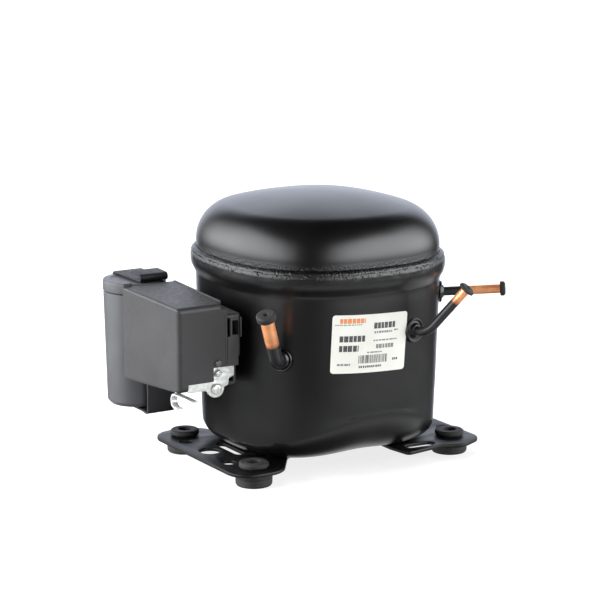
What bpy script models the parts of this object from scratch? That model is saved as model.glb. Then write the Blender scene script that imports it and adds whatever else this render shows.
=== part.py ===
"""Hermetic reciprocating refrigeration compressor, as separate pieces.

Welded steel shell on two foot plates with rubber grommets, three copper stub tubes with rubber
plugs, a terminal box with relay and protector, a strapped start capacitor, and inside the shell
a spring-hung Scotch-yoke pump driven by a four-pole motor.
All sizes below are in millimetres on the shell's own axis; the helpers turn them into metres.
X runs along the long side of the foot pattern, the box is on -X, the cylinder on +Y, floor z = 0.
"""
import bpy
import bmesh
from math import atan2, cos, hypot, pi, radians, sin, tan
from mathutils import Quaternion, Vector

MM = 0.001
GAP = 0.35                       # air left between two pieces that touch

# Place of the shell's axis, so that the origin is the centre of the whole part's footprint
AXIS_AT = (12.9, 14.7, 0.0)

# Foot pattern and foot plates
FOOT_X, FOOT_Y = 165.1 / 2, 101.6 / 2
PLATE_BOTTOM, PLATE_THICK = 9.5, 2.6
FOOT_HOLE_R = 8.3
GROMMET_R, GROMMET_RING_R, GROMMET_TOP, GROMMET_BORE_R = 13.2, 10.5, 16.6, 4.8

# Shell
HALF_X, HALF_Y, PLAN_POWER = 82.0, 89.0, 2.4
SHELL_THICK = 3.0
SHELL_BOTTOM = PLATE_BOTTOM + PLATE_THICK + GAP
FOOT_WALL = 84.9
FLAT_REACH, FLAT_RISE, ROUND_REACH, ROUND_RISE = 19.0, 12.0, 46.0, 36.0
RIM_R, RIM_TOP = 92.2, 149.5
COVER_R, COVER_FOOT, COVER_SHOULDER, COVER_CORNER = 88.2, 143.5, 157.0, 29.0
CROWN_TILT = radians(15.5)
BEAD_R = 1.5
SHELL_STEPS = 40

# Tubes: plan angle and height of the wall point, tube and collar radius, plug radius and height
TUBE_WALL = 0.8
SUCTION = {"angle": radians(-137.8), "height": 89.0, "tube_r": 4.75, "collar_r": 8.7, "plug_r": 6.8,
           "plug_height": 5.0}
PROCESS = {"angle": radians(-72.0), "height": 104.0, "tube_r": 3.2, "collar_r": 8.8, "plug_r": 5.8,
           "plug_height": 3.0}
DISCHARGE = {"angle": radians(-39.0), "height": 122.0, "tube_r": 3.2, "collar_r": 7.8, "plug_r": 5.2,
             "plug_height": 4.0}

# Electrical box on the -X side
BOX_OUT_FRONT, BOX_OUT_REAR, BOX_SPLIT, BOX_BACK = -133.8, -137.6, -95.4, -84.4
BOX_FRONT, BOX_REAR = -37.5, 38.5
BOX_FRONT_Z, BOX_REAR_Z = (68.6, 128.0), (64.0, 131.0)
BOX_WALL = 2.2
TERMINAL_Z = 98.0
CLAMP_Y = BOX_FRONT + BOX_WALL + GAP + 0.6
COVER_SCREW = (-102.8, 86.7)

# Start capacitor
CAN_X, CAN_Y, CAN_BOTTOM, CAN_LID, CAN_TOP = -115.0, 64.0, 39.0, 122.5, 130.5
CAN_FOOT_R, CAN_R = 20.8, 22.5
STRAP_X0, STRAP_X1, STRAP_THICK = -120.5, -98.5, 1.6

# Pump and motor
THROW = 8.55
BORE_R, PISTON_R = 13.05, 12.95
BORE_Z = 131.0
BARREL_START, BARREL_END = 24.6, 51.7
SHAFT_R, PIN_R = 8.0, 7.0
BEARING_CLEARANCE = 0.15         # more than the facets of a 24-sided shaft need to turn freely
STATOR_HALF, STATOR_Z0, STATOR_Z1, STATOR_BORE = 52.0, 37.0, 82.0, 31.0
POST = 42.0
HEAD_HALF, HEAD_BOLT = 26.0, 19.8
FLOAT_SPRING_R, SPRING_WIRE_R = 7.0, 1.0
SPRING_Z0, SPRING_Z1, SPRING_TURNS = 18.4, 35.6, 4


# ---------------------------------------------------------------- scene and materials
for old in list(bpy.data.objects):
    bpy.data.objects.remove(old)
PART = bpy.data.collections.new("hermetic_compressor")
CUTTERS = bpy.data.collections.new("cutters")
for group in (PART, CUTTERS):
    bpy.context.scene.collection.children.link(group)


def finish(name, colour, roughness, metallic=0.0):
    made = bpy.data.materials.new(name)
    made.use_nodes = True
    shader = made.node_tree.nodes["Principled BSDF"]
    shader.inputs["Base Color"].default_value = (*colour, 1.0)
    shader.inputs["Roughness"].default_value = roughness
    shader.inputs["Metallic"].default_value = metallic
    made.diffuse_color = (*colour, 1.0)
    return made


BLACK_PAINT = finish("black_paint", (0.018, 0.018, 0.020), 0.32)
RUBBER = finish("rubber", (0.035, 0.035, 0.036), 0.7)
COPPER = finish("copper", (0.85, 0.38, 0.18), 0.28, 1.0)
BOX_PLASTIC = finish("box_plastic", (0.055, 0.057, 0.060), 0.5)
LABEL = finish("label", (0.82, 0.83, 0.80), 0.45)
ZINC = finish("zinc", (0.72, 0.74, 0.74), 0.35, 1.0)
STEEL = finish("steel", (0.50, 0.50, 0.51), 0.35, 1.0)
IRON = finish("cast_iron", (0.16, 0.16, 0.17), 0.6, 0.8)
LAMINATION = finish("lamination", (0.28, 0.29, 0.31), 0.45, 0.9)
WINDING = finish("winding", (0.55, 0.22, 0.08), 0.4, 0.8)
ALUMINIUM = finish("aluminium", (0.65, 0.66, 0.68), 0.4, 1.0)
GASKET = finish("gasket", (0.10, 0.14, 0.12), 0.8)
PALE_PLASTIC = finish("pale_plastic", (0.75, 0.73, 0.66), 0.45)


# ---------------------------------------------------------------- helpers
def empty(name, at, parent=None):
    """An empty at a point of the shell's frame; pieces that move hang from one on their axis."""
    made = bpy.data.objects.new(name, None)
    PART.objects.link(made)
    made["at"] = at
    made.parent = parent
    base = Vector(parent["at"]) if parent else Vector((0, 0, 0))
    made.location = (Vector(at) - base) * MM
    return made


SHELL_AXIS = empty("shell_axis", AXIS_AT)
SHELL_AXIS["at"] = (0.0, 0.0, 0.0)


def place(obj, at, turn, parent, group):
    group.objects.link(obj)
    obj.parent = parent or SHELL_AXIS
    obj.location = (Vector(at) - Vector(obj.parent["at"])) * MM
    if turn is not None:
        obj.rotation_mode = 'QUATERNION'
        obj.rotation_quaternion = turn
    return obj


def add(obj, material, at=(0, 0, 0), turn=None, parent=None, smooth=True):
    """Put a piece in the part, with its material and place."""
    if not obj.data.materials:
        obj.data.materials.append(material)
    if smooth and obj.data.polygons:
        obj.data.shade_smooth()
        obj.data.set_sharp_from_angle(angle=radians(35))
    return place(obj, at, turn, parent, PART)


def boolean(target, tool, operation, at=(0, 0, 0), turn=None, parent=None):
    """Cut a tool from a piece, or join it on; the tool stays as a hidden wire guide."""
    place(tool, at, turn, parent or target.parent, CUTTERS)
    tool.name = target.name + "_" + tool.name
    tool.hide_render = True
    tool.display_type = 'WIRE'
    modifier = target.modifiers.new(tool.name, 'BOOLEAN')
    modifier.operation = operation
    modifier.object = tool
    return target


def baked(obj, scale=1.0):
    """The evaluated shape of a curve or modified object as a plain mesh object, caps welded."""
    name = obj.name
    bpy.context.scene.collection.objects.link(obj)
    bpy.context.view_layer.update()
    evaluated = obj.evaluated_get(bpy.context.evaluated_depsgraph_get())
    mesh = bpy.data.meshes.new_from_object(evaluated)
    bpy.data.objects.remove(obj)
    work = bmesh.new()
    work.from_mesh(mesh)
    bmesh.ops.scale(work, verts=work.verts, vec=(scale, scale, scale))
    bmesh.ops.remove_doubles(work, verts=work.verts, dist=0.00001)
    work.to_mesh(mesh)
    work.free()
    mesh.name = name
    return bpy.data.objects.new(name, mesh)


def from_bmesh(name, work):
    mesh = bpy.data.meshes.new(name)
    work.to_mesh(mesh)
    work.free()
    return bpy.data.objects.new(name, mesh)


def block(name, size, bevel=0.0):
    """A box centred on its own origin, its edges rounded by a Bevel."""
    work = bmesh.new()
    bmesh.ops.create_cube(work, size=1.0)
    bmesh.ops.scale(work, verts=work.verts, vec=Vector(size) * MM)
    obj = from_bmesh(name, work)
    if bevel:
        rounding = obj.modifiers.new("round", 'BEVEL')
        rounding.width = bevel * MM
        rounding.segments = 2
    return obj


def cylinder(name, radius, length, sides=24):
    """A cylinder on local Z, standing on its own origin."""
    work = bmesh.new()
    bmesh.ops.create_cone(work, cap_ends=True, segments=sides, radius1=radius * MM,
                          radius2=radius * MM, depth=length * MM)
    bmesh.ops.translate(work, verts=work.verts, vec=(0, 0, length / 2 * MM))
    return from_bmesh(name, work)


def turned(name, profile, steps=24, closed=False):
    """A turned piece on local Z: (radius, height) points that run down its outer side."""
    mesh = bpy.data.meshes.new(name)
    edges = [(i, i + 1) for i in range(len(profile) - 1)]
    if closed:
        edges.append((len(profile) - 1, 0))
    mesh.from_pydata([(r * MM, 0, z * MM) for r, z in profile], edges, [])
    obj = bpy.data.objects.new(name, mesh)
    screw = obj.modifiers.new("turn", 'SCREW')
    screw.steps = screw.render_steps = steps
    screw.use_merge_vertices = True
    screw.merge_threshold = 0.00001
    return obj


def fillet(before, corner, after, radius, steps):
    """Points of the arc that rounds one corner of a path, in the plane or in space."""
    back = (before - corner).normalized()
    ahead = (after - corner).normalized()
    half = back.angle(ahead) / 2
    centre = corner + (back + ahead).normalized() * (radius / sin(half))
    start = corner + back * (radius / tan(half)) - centre
    end = corner + ahead * (radius / tan(half)) - centre
    return [centre + start.slerp(end, i / steps).normalized() * radius for i in range(steps + 1)]


def rounded(corners, steps=3):
    """A closed flat outline from (x, y, corner radius) corners."""
    spots = [Vector(corner[:2]) for corner in corners]
    outline = []
    for i, (spot, corner) in enumerate(zip(spots, corners)):
        following = spots[(i + 1) % len(spots)]
        outline += fillet(spots[i - 1], spot, following, corner[2], steps) if corner[2] else [spot]
    return outline


def rectangle(x0, x1, y0, y1, radius):
    return rounded([(x0, y0, radius), (x1, y0, radius), (x1, y1, radius), (x0, y1, radius)])


def circle(x, y, radius, steps=14):
    return [Vector((x + radius * cos(2 * pi * i / steps), y + radius * sin(2 * pi * i / steps)))
            for i in range(steps)]


def slot(x0, y0, x1, y1, radius):
    """A slot outline between two centres."""
    along = atan2(y1 - y0, x1 - x0)
    ends = ((x1, y1, along - pi / 2), (x0, y0, along + pi / 2))
    return [Vector((x + radius * cos(a + pi * i / 5), y + radius * sin(a + pi * i / 5)))
            for x, y, a in ends for i in range(6)]


def plate(name, outlines, thickness):
    """A flat plate in local XY, centred on z = 0: its edge outline, then its holes.

    The outline is filled at 1000 times its size, because Blender's fill is coarse in metres."""
    curve = bpy.data.curves.new(name, 'CURVE')
    curve.dimensions = '2D'
    curve.fill_mode = 'BOTH'
    curve.extrude = thickness / 2
    for outline in outlines:
        spline = curve.splines.new('POLY')
        spline.points.add(len(outline) - 1)
        for point, spot in zip(spline.points, outline):
            point.co = (spot[0], spot[1], 0, 1)
        spline.use_cyclic_u = True
    return baked(bpy.data.objects.new(name, curve), MM)


def wire(name, points, radius, detail=2, caps=True):
    """A round bar along a path."""
    curve = bpy.data.curves.new(name, 'CURVE')
    curve.dimensions = '3D'
    curve.bevel_depth = radius * MM
    curve.bevel_resolution = detail
    curve.use_fill_caps = caps
    spline = curve.splines.new('POLY')
    spline.points.add(len(points) - 1)
    for point, spot in zip(spline.points, points):
        point.co = (*(Vector(spot) * MM), 1)
    return baked(bpy.data.objects.new(name, curve))


def pipe(name, points, radius, wall, detail=3):
    """An open-ended tube along a path: the outer skin with its wall thickness inside."""
    obj = wire(name, points, radius, detail, caps=False)
    skin = obj.modifiers.new("wall", 'SOLIDIFY')
    skin.thickness = wall * MM
    skin.offset = -1
    return obj


def facing(direction):
    """The turn that points local Z along a direction."""
    return Vector(direction).to_track_quat('Z', 'Y')


SIDEWAYS = Quaternion((0.5, 0.5, 0.5, 0.5))      # local X, Y, Z point along Y, Z, X


def strip(name, path, thickness, width):
    """A bent sheet strip: a path in local XY with thickness, extruded by its width along Z."""
    left, right = [], []
    for i, spot in enumerate(path):
        along = (path[min(i + 1, len(path) - 1)] - path[max(i - 1, 0)]).normalized()
        across = Vector((-along.y, along.x)) * (thickness / 2)
        left.append(spot + across)
        right.append(spot - across)
    return plate(name, [left + right[::-1]], width)


def bent(points, radius, steps=4):
    """A path through points with every inner corner rounded by the same radius."""
    spots = [Vector(p) for p in points]
    path = [spots[0]]
    for before, corner, after in zip(spots, spots[1:], spots[2:]):
        path += fillet(before, corner, after, radius, steps)
    return path + [spots[-1]]


# ---------------------------------------------------------------- shell
def plan_radius(angle):
    """Distance from the axis to the shell's plan outline, a superellipse."""
    shape = (abs(cos(angle)) / HALF_X) ** PLAN_POWER + (abs(sin(angle)) / HALF_Y) ** PLAN_POWER
    return shape ** (-1 / PLAN_POWER)


def to_plan(obj):
    """Turn a round skin of radius HALF_Y into one with the shell's plan."""
    for vertex in obj.data.vertices:
        x, y = vertex.co.xy
        if hypot(x, y) > 0:
            vertex.co.xy *= plan_radius(atan2(y, x)) / HALF_Y
    return obj


def lower_profile(roundness=0.0):
    """(radius, height) from the rim down the outer side to the middle of the bottom.

    The bottom's corner is tight over the foot plates, where roundness is 0, and wide at 1."""
    rim = [(RIM_R, RIM_TOP), (RIM_R, 142.0), (91.2, 139.0), (89.4, 136.0), (88.5, 133.0)]
    wall = [(88.4, 124.0), (87.2, 92.0), (86.2, 60.0)]
    reach = FLAT_REACH + roundness * (ROUND_REACH - FLAT_REACH)
    rise = FLAT_RISE + roundness * (ROUND_RISE - FLAT_RISE)
    centre = (FOOT_WALL - reach, SHELL_BOTTOM + rise)
    corner = [(centre[0] + reach * cos(a), centre[1] - rise * sin(a))
              for a in (pi / 2 * i / 5 for i in range(6))]
    return rim + wall + corner + [(0.0, SHELL_BOTTOM)]


def wall_radius(height):
    """The lower shell's outer radius at a height, before the plan is applied."""
    profile = lower_profile()
    for (r1, z1), (r0, z0) in zip(profile, profile[1:]):
        if z0 <= height <= z1:
            return r0 + (r1 - r0) * (height - z0) / (z1 - z0)
    return 0.0


def on_wall(angle, height, out=0.0):
    """A point on the shell's wall, moved outwards along the wall's normal."""
    def spot(a):
        r = plan_radius(a) * wall_radius(height) / HALF_Y
        return Vector((r * cos(a), r * sin(a), height))
    step = 0.01
    along = (spot(angle + step) - spot(angle - step)).normalized()
    normal = along.cross(Vector((0, 0, 1))).normalized()
    return spot(angle) + normal * out, normal


def round_bottom(obj):
    """Give each point of the turned lower shell the bottom corner of its own plan angle."""
    tight = lower_profile()
    for vertex in obj.data.vertices:
        angle = atan2(vertex.co.y, vertex.co.x)
        radius, height = hypot(*vertex.co.xy) / MM, vertex.co.z / MM
        row = min(range(len(tight)),
                  key=lambda i: abs(tight[i][0] - radius) + abs(tight[i][1] - height))
        new_radius, new_height = lower_profile(sin(angle) ** 4)[row]
        if tight[row][0] > 0:
            vertex.co.xy *= new_radius / radius
            vertex.co.z = new_height * MM
    return obj


def skin(name, profile, reshape=None):
    obj = baked(turned(name, profile, SHELL_STEPS))
    obj = to_plan(reshape(obj) if reshape else obj)
    wall = obj.modifiers.new("sheet", 'SOLIDIFY')
    wall.thickness = SHELL_THICK * MM
    wall.offset = -1
    return obj


def make_shell():
    lower = add(skin("lower_shell", lower_profile(), round_bottom), BLACK_PAINT)
    for tube in (SUCTION, PROCESS, DISCHARGE):
        start, normal = on_wall(tube["angle"], tube["height"], -12.0)
        hole = cylinder("hole", tube["tube_r"] + 1.9 + GAP, 24.0, 20)
        boolean(lower, hole, 'DIFFERENCE', start, facing(normal))
    window = cylinder("terminal_hole", 15.4, 24.0, 28)
    boolean(lower, window, 'DIFFERENCE', (-68.0, 0, TERMINAL_Z), facing((-1, 0, 0)))
    crown_r = (COVER_R - COVER_CORNER + COVER_CORNER * sin(CROWN_TILT)) / sin(CROWN_TILT)
    crown_z = COVER_SHOULDER + COVER_CORNER * cos(CROWN_TILT) - crown_r * cos(CROWN_TILT)
    crown = [(crown_r * sin(a), crown_z + crown_r * cos(a))
             for a in (CROWN_TILT * i / 3 for i in range(3))]
    shoulder = [(COVER_R - COVER_CORNER + COVER_CORNER * cos(a),
                 COVER_SHOULDER + COVER_CORNER * sin(a))
                for a in ((pi / 2 - CROWN_TILT) * (1 - i / 5) for i in range(6))]
    add(skin("upper_shell", crown + shoulder + [(COVER_R, COVER_FOOT)]), BLACK_PAINT)
    bead_r, bead_z = COVER_R + GAP + BEAD_R + 0.15, RIM_TOP + GAP + BEAD_R
    ring = [(bead_r + BEAD_R * cos(-pi * i / 3), bead_z + BEAD_R * sin(-pi * i / 3))
            for i in range(6)]
    add(to_plan(baked(turned("weld_bead", ring, SHELL_STEPS, closed=True))), BLACK_PAINT)


def make_feet():
    left = rounded([(-103.5, -68, 18), (-68, -68, 21), (-46, -36, 8), (-30, -36, 5),
                    (-30, 36, 5), (-46, 36, 8), (-68, 68, 17), (-103.5, 68, 18)])
    right = rounded([(99.5, 68, 15), (68, 68, 17), (46, 36, 8), (30, 36, 5), (28, -54, 4),
                     (31, -75, 4), (60, -70, 10), (79, -77, 9), (99.5, -67, 14)])
    for name, side, outline in (("base_bracket_left", -1, left), ("base_bracket_right", 1, right)):
        holes = [circle(side * FOOT_X, y, FOOT_HOLE_R) for y in (-FOOT_Y, FOOT_Y)]
        holes += [circle(side * 88.0, 2.8, 7.6), slot(side * 73.0, -13, side * 73.0, 13, 3.4)]
        holes += [circle(side * 91.0, y, 5.0) for y in (-30.0, 33.0)]
        if side > 0:
            holes.append(slot(42, -61, 57, -62, 4.5))
        obj = plate(name, [outline] + holes, PLATE_THICK)
        add(obj, BLACK_PAINT, (0, 0, PLATE_BOTTOM + PLATE_THICK / 2), smooth=False)
    top = PLATE_BOTTOM + PLATE_THICK
    neck = FOOT_HOLE_R - GAP
    ring_chamfer, foot_draft = 1.0, 0.3
    section = [(GROMMET_BORE_R, GROMMET_TOP), (GROMMET_RING_R - ring_chamfer, GROMMET_TOP),
               (GROMMET_RING_R, GROMMET_TOP - ring_chamfer), (GROMMET_RING_R, top + GAP),
               (neck, top + GAP), (neck, PLATE_BOTTOM - GAP), (GROMMET_R, PLATE_BOTTOM - GAP),
               (GROMMET_R - foot_draft, 0.0), (GROMMET_BORE_R, 0.0)]
    corners = [(-1, -1), (1, -1), (-1, 1), (1, 1)]
    for number, (sx, sy) in enumerate(corners, 1):
        grommet = turned("grommet_" + str(number), section, 16, closed=True)
        add(grommet, RUBBER, (sx * FOOT_X, sy * FOOT_Y, 0))


# ---------------------------------------------------------------- stub tubes
def make_tube(name, tube, corners, bend):
    """A collar in the wall, a bent copper tube and the rubber plug that pulls off its end."""
    root, normal = on_wall(tube["angle"], tube["height"])
    radius = tube["tube_r"]
    path = bent([root - normal * 7.0] + corners, bend, 5) if bend else [root - normal * 7.0] + corners
    add(pipe(name + "_tube", path, radius, TUBE_WALL), COPPER)
    hub, ring = radius + 1.9, tube["collar_r"]
    section = [(radius + GAP, 2.6), (hub, 2.6), (hub, 1.9), (ring, 1.9), (ring, 0.8), (hub, 0.8),
               (hub, -4.5), (radius + GAP, -4.5)]
    add(turned(name + "_collar", section, 16, closed=True), BLACK_PAINT, root, facing(normal))
    end = Vector(corners[-1])
    outward = (end - path[-2]).normalized()
    axis = empty(name + "_plug_axis", tuple(end), SHELL_AXIS)
    spigot = radius - TUBE_WALL - GAP
    disc, height = tube["plug_r"], tube["plug_height"]
    plug = [(0.0, 1.2), (1.0, 1.2), (1.0, height), (disc, height), (disc, GAP), (spigot, GAP),
            (spigot, -6.0), (0.0, -6.0)]
    add(turned(name + "_plug", plug, 14), RUBBER, tuple(end), facing(outward), axis)


def make_tubes():
    root, normal = on_wall(SUCTION["angle"], SUCTION["height"])
    lean = radians(26)
    knee = root + normal * 7.6
    tip = knee + (normal * sin(lean) + Vector((0, 0, cos(lean)))) * 36.5
    make_tube("suction", SUCTION, [knee, tip], 9.0)
    root, normal = on_wall(PROCESS["angle"], PROCESS["height"])
    make_tube("process", PROCESS, [root + normal * 12.6, Vector((50.0, -115.2, 135.2))], 15.0)
    root, normal = on_wall(DISCHARGE["angle"], DISCHARGE["height"])
    rise = (normal + Vector((0, 0, 0.049))).normalized()
    make_tube("discharge", DISCHARGE, [root + normal * 3.0, root + normal * 3.0 + rise * 40.5], 20.0)


# ---------------------------------------------------------------- rating label
def make_label():
    """A thin plate that follows the wall, turned a little clockwise."""
    columns, rows, width, height, tilt = 12, 2, 59.0, 41.5, radians(-2.4)
    middle_angle, middle_z = radians(-96.2), 99.6
    reach = plan_radius(middle_angle)
    work = bmesh.new()
    bmesh.ops.create_grid(work, x_segments=columns, y_segments=rows, size=0.5)
    for vertex in work.verts:
        u, v = vertex.co.x * width, vertex.co.y * height
        u, v = u * cos(tilt) - v * sin(tilt), u * sin(tilt) + v * cos(tilt)
        spot, _ = on_wall(middle_angle + u / reach, middle_z + v, GAP)
        vertex.co = spot * MM
    obj = from_bmesh("rating_label", work)
    sheet = obj.modifiers.new("sheet", 'SOLIDIFY')
    sheet.thickness = 0.3 * MM
    sheet.offset = 1
    add(obj, LABEL)


# ---------------------------------------------------------------- electrical box
def box_z(y, top):
    """Height of the box's top or bottom at a depth: the box is taller at its rear."""
    share = (y - BOX_FRONT) / (BOX_REAR - BOX_FRONT)
    return BOX_FRONT_Z[top] + share * (BOX_REAR_Z[top] - BOX_FRONT_Z[top])


def open_box(name, outer, inner, open_side, lower=0.0, edges=(4.0, 4.0)):
    """A tapered box skin with one X side open, rounded edges and a wall thickness inside.

    outer and inner are the X of its two sides, each at the front and at the rear, and edges are
    the roundings of the front and of the rear."""
    work = bmesh.new()
    bmesh.ops.create_cube(work, size=1.0)
    for vertex in work.verts:
        rear, top = vertex.co.y > 0, vertex.co.z > 0
        x = (outer if vertex.co.x < 0 else inner)[rear]
        y = BOX_REAR if rear else BOX_FRONT
        vertex.co = Vector((x, y, box_z(y, top) - (lower if top else 0.0))) * MM
    work.normal_update()
    faces = [f for f in work.faces if f.normal.x * open_side > 0.9]
    bmesh.ops.delete(work, geom=faces, context='FACES_ONLY')
    middle = (BOX_FRONT + BOX_REAR) / 2 * MM
    for rear in (False, True):
        edge_group = [e for e in work.edges if not e.is_boundary
                      and all((v.co.y > middle) == rear for v in e.verts)]
        bmesh.ops.bevel(work, geom=edge_group, offset=edges[rear] * MM, segments=3, profile=0.5,
                        affect='EDGES', clamp_overlap=True)
    obj = from_bmesh(name, work)
    wall = obj.modifiers.new("wall", 'SOLIDIFY')
    wall.thickness = BOX_WALL * MM
    wall.offset = -1
    return obj


def make_box():
    slide = empty("cover_slide_axis", (BOX_OUT_REAR, 0.5, TERMINAL_Z), SHELL_AXIS)
    skin_x = (BOX_OUT_FRONT, BOX_OUT_REAR)
    cover = add(open_box("terminal_box_cover", skin_x, (BOX_SPLIT, BOX_SPLIT), 1, 0.0, (4.0, 1.4)),
                BOX_PLASTIC, parent=slide, smooth=False)
    depth, notch_y = 15.0, BOX_FRONT + 1.0
    steps = ((-126.0, -80.0, 40.0, 73.8), (-106.2, -80.0, 40.0, 83.6), (-100.1, -80.0, 124.0, 140.0))
    for x0, x1, z0, z1 in steps:
        tool = block("notch", (x1 - x0, depth, z1 - z0))
        boolean(cover, tool, 'DIFFERENCE', ((x0 + x1) / 2, notch_y, (z0 + z1) / 2))
    boolean(cover, cylinder("screw_hole", 1.6, 8.0, 10), 'DIFFERENCE',
            (COVER_SCREW[0], -33.0, COVER_SCREW[1]), facing((0, -1, 0)))
    front_x, back_x = BOX_SPLIT + GAP, BOX_BACK
    base = add(open_box("terminal_box_base", (front_x, front_x), (back_x, back_x), -1, 7.6, (2.5, 2.5)),
               BOX_PLASTIC, smooth=False)
    window = block("window", (20.0, 46.0, 42.0))
    boolean(base, window, 'DIFFERENCE', (BOX_BACK, 0, TERMINAL_Z))
    for x0, x1, z0, z1 in ((-100.0, -80.0, 40.0, 83.6), (-86.7, -80.0, 40.0, 90.3)):
        tool = block("notch", (x1 - x0, depth, z1 - z0))
        boolean(base, tool, 'DIFFERENCE', ((x0 + x1) / 2, notch_y, (z0 + z1) / 2))
    for x0, x1, z0, z1 in ((-91.4, -86.5, 105.4, 115.7), (-96.5, -92.8, 104.3, 117.5)):
        latch = block("latch", (x1 - x0, 8.0, z1 - z0))
        boolean(base, latch, 'DIFFERENCE', ((x0 + x1) / 2, BOX_FRONT, (z0 + z1) / 2))
    fence = plate("terminal_fence", [rectangle(-22, 22, -20, 20, 4), rectangle(-20, 20, -18, 18, 3)],
                  16.5)
    add(fence, BLACK_PAINT, (-89.6, 0, TERMINAL_Z), facing((-1, 0, 0)), smooth=False)
    return slide


def make_terminal():
    section = [(0.0, 6.0), (13.0, 6.0), (14.8, 4.5), (14.8, -5.0), (0.0, -5.0)]
    body = add(baked(turned("hermetic_terminal", section, 24)), STEEL, (-80.5, 0, TERMINAL_Z),
               facing((-1, 0, 0)))
    for i in range(3):
        angle = pi / 2 + 2 * pi * i / 3
        spot = (-72.0, 7.0 * cos(angle), TERMINAL_Z + 7.0 * sin(angle))
        boolean(body, cylinder("pin", 1.2, 23.0, 8), 'UNION', spot, facing((-1, 0, 0)))
    relay = block("start_relay", (26.0, 26.0, 38.0), 1.5)
    add(relay, PALE_PLASTIC, (-113.0, -14.0, TERMINAL_Z), smooth=False)
    protector = turned("overload_protector", [(0, 12), (12.0, 12), (13.0, 11), (13.0, 0), (14.5, 0),
                                              (14.5, -9), (0, -9)], 20)
    add(protector, BOX_PLASTIC, (-108.0, 18.0, TERMINAL_Z - 4.0), facing((-1, 0, 0)))


def phillips_screw(name, head_r, shank_r, length, at, parent=None):
    """A pan-head screw on the box's front, pointing out along -Y, with a cross recess."""
    section = [(0.0, 2.4), (head_r * 0.7, 2.2), (head_r, 1.2), (head_r, 0.0), (shank_r, 0.0),
               (shank_r, -length), (0.0, -length)]
    obj = add(baked(turned(name, section, 12)), ZINC, at, facing((0, -1, 0)), parent)
    for size in ((head_r, 0.9, 1.6), (0.9, head_r, 1.6)):
        boolean(obj, block("cross", size), 'DIFFERENCE', Vector(at) - Vector((0, 2.2, 0)),
                facing((0, -1, 0)))


def make_clamp(cover_slide):
    """The zinc cord clamp at the box's lower front corner, its strap and screws."""
    outline = rounded([(-125.4, 67.4, 1), (-109.6, 67.4, 3), (-109.3, 61.8, 6), (-96.9, 61.8, 6),
                       (-96.9, 68.6, 1), (-93.6, 69.7, 1), (-92.9, 74.4, 1), (-88.8, 75.9, 1),
                       (-88.8, 90.0, 1), (-107.5, 90.0, 1), (-107.5, 73.6, 1.5), (-125.4, 73.6, 1)])
    screws = ((-103.2, 68.0, 2.4), (-102.0, 79.0, 1.6), (*COVER_SCREW, 1.6))
    holes = [circle(x, z, radius, 10) for x, z, radius in screws]
    body = plate("cord_clamp_plate", [outline] + holes, 1.2)
    turn = facing((0, -1, 0))
    add(body, ZINC, (0, CLAMP_Y, 0), turn, smooth=False)
    phillips_screw("clamp_screw", 3.9, 2.0, 5.0, (-103.2, CLAMP_Y - 0.6 - GAP, 68.0))
    phillips_screw("plate_screw", 2.6, 1.25, 6.0, (-102.0, CLAMP_Y - 0.6 - GAP, 79.0))
    phillips_screw("cover_screw", 2.4, 1.2, 5.0, (COVER_SCREW[0], BOX_FRONT - GAP, COVER_SCREW[1]),
                   cover_slide)
    strap_path = bent([(-34.8, 60.6), (-4.0, 60.6), (-4.0, 51.0), (-12.5, 51.0)], 4.5)
    strap = strip("cord_clamp_strap", strap_path, 1.2, 5.0)
    add(strap, ZINC, (-120.0, 0, 0), SIDEWAYS)


# ---------------------------------------------------------------- start capacitor
def make_capacitor():
    foot = 3.0
    can = [(0.0, CAN_LID - GAP), (CAN_R, CAN_LID - GAP), (CAN_FOOT_R, CAN_BOTTOM + foot),
           (CAN_FOOT_R - 1.0, CAN_BOTTOM + 0.9), (CAN_FOOT_R - foot, CAN_BOTTOM), (0.0, CAN_BOTTOM)]
    add(turned("start_capacitor", can, 24), BOX_PLASTIC, (CAN_X, CAN_Y, 0))
    lid = [(0.0, CAN_TOP), (CAN_R - 0.6, CAN_TOP), (CAN_R + 0.3, CAN_TOP - 0.9),
           (CAN_R + 0.3, CAN_LID), (0.0, CAN_LID)]
    add(turned("capacitor_lid", lid, 24), BOX_PLASTIC, (CAN_X, CAN_Y, 0))


# ---------------------------------------------------------------- pump and motor
def make_motor():
    outline = rectangle(-STATOR_HALF, STATOR_HALF, -STATOR_HALF, STATOR_HALF, 9)
    posts = [(sx * POST, sy * POST) for sx in (-1, 1) for sy in (-1, 1)]
    holes = [circle(0, 0, STATOR_BORE, 32)] + [circle(x, y, 3.6, 10) for x, y in posts]
    core = plate("stator_core", [outline] + holes, STATOR_Z1 - STATOR_Z0)
    add(core, LAMINATION, (0, 0, (STATOR_Z0 + STATOR_Z1) / 2))
    for name, z0, z1 in (("stator_winding_lower", 26.0, STATOR_Z0 - GAP),
                         ("stator_winding_upper", STATOR_Z1 + GAP, 95.0)):
        section = [(34.0, z1), (43.0, z1), (45.5, (z0 + z1) / 2), (43.0, z0), (34.0, z0),
                   (33.0, (z0 + z1) / 2)]
        add(turned(name, section, 20, closed=True), WINDING)
    crank = empty("crank_axis", (0, 0, 0), SHELL_AXIS)
    rotor = [(SHAFT_R + GAP, 85.0), (30.4, 85.0), (30.4, 35.0), (SHAFT_R + GAP, 35.0)]
    add(turned("rotor", rotor, 28, closed=True), ALUMINIUM, parent=crank)
    return crank


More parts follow.
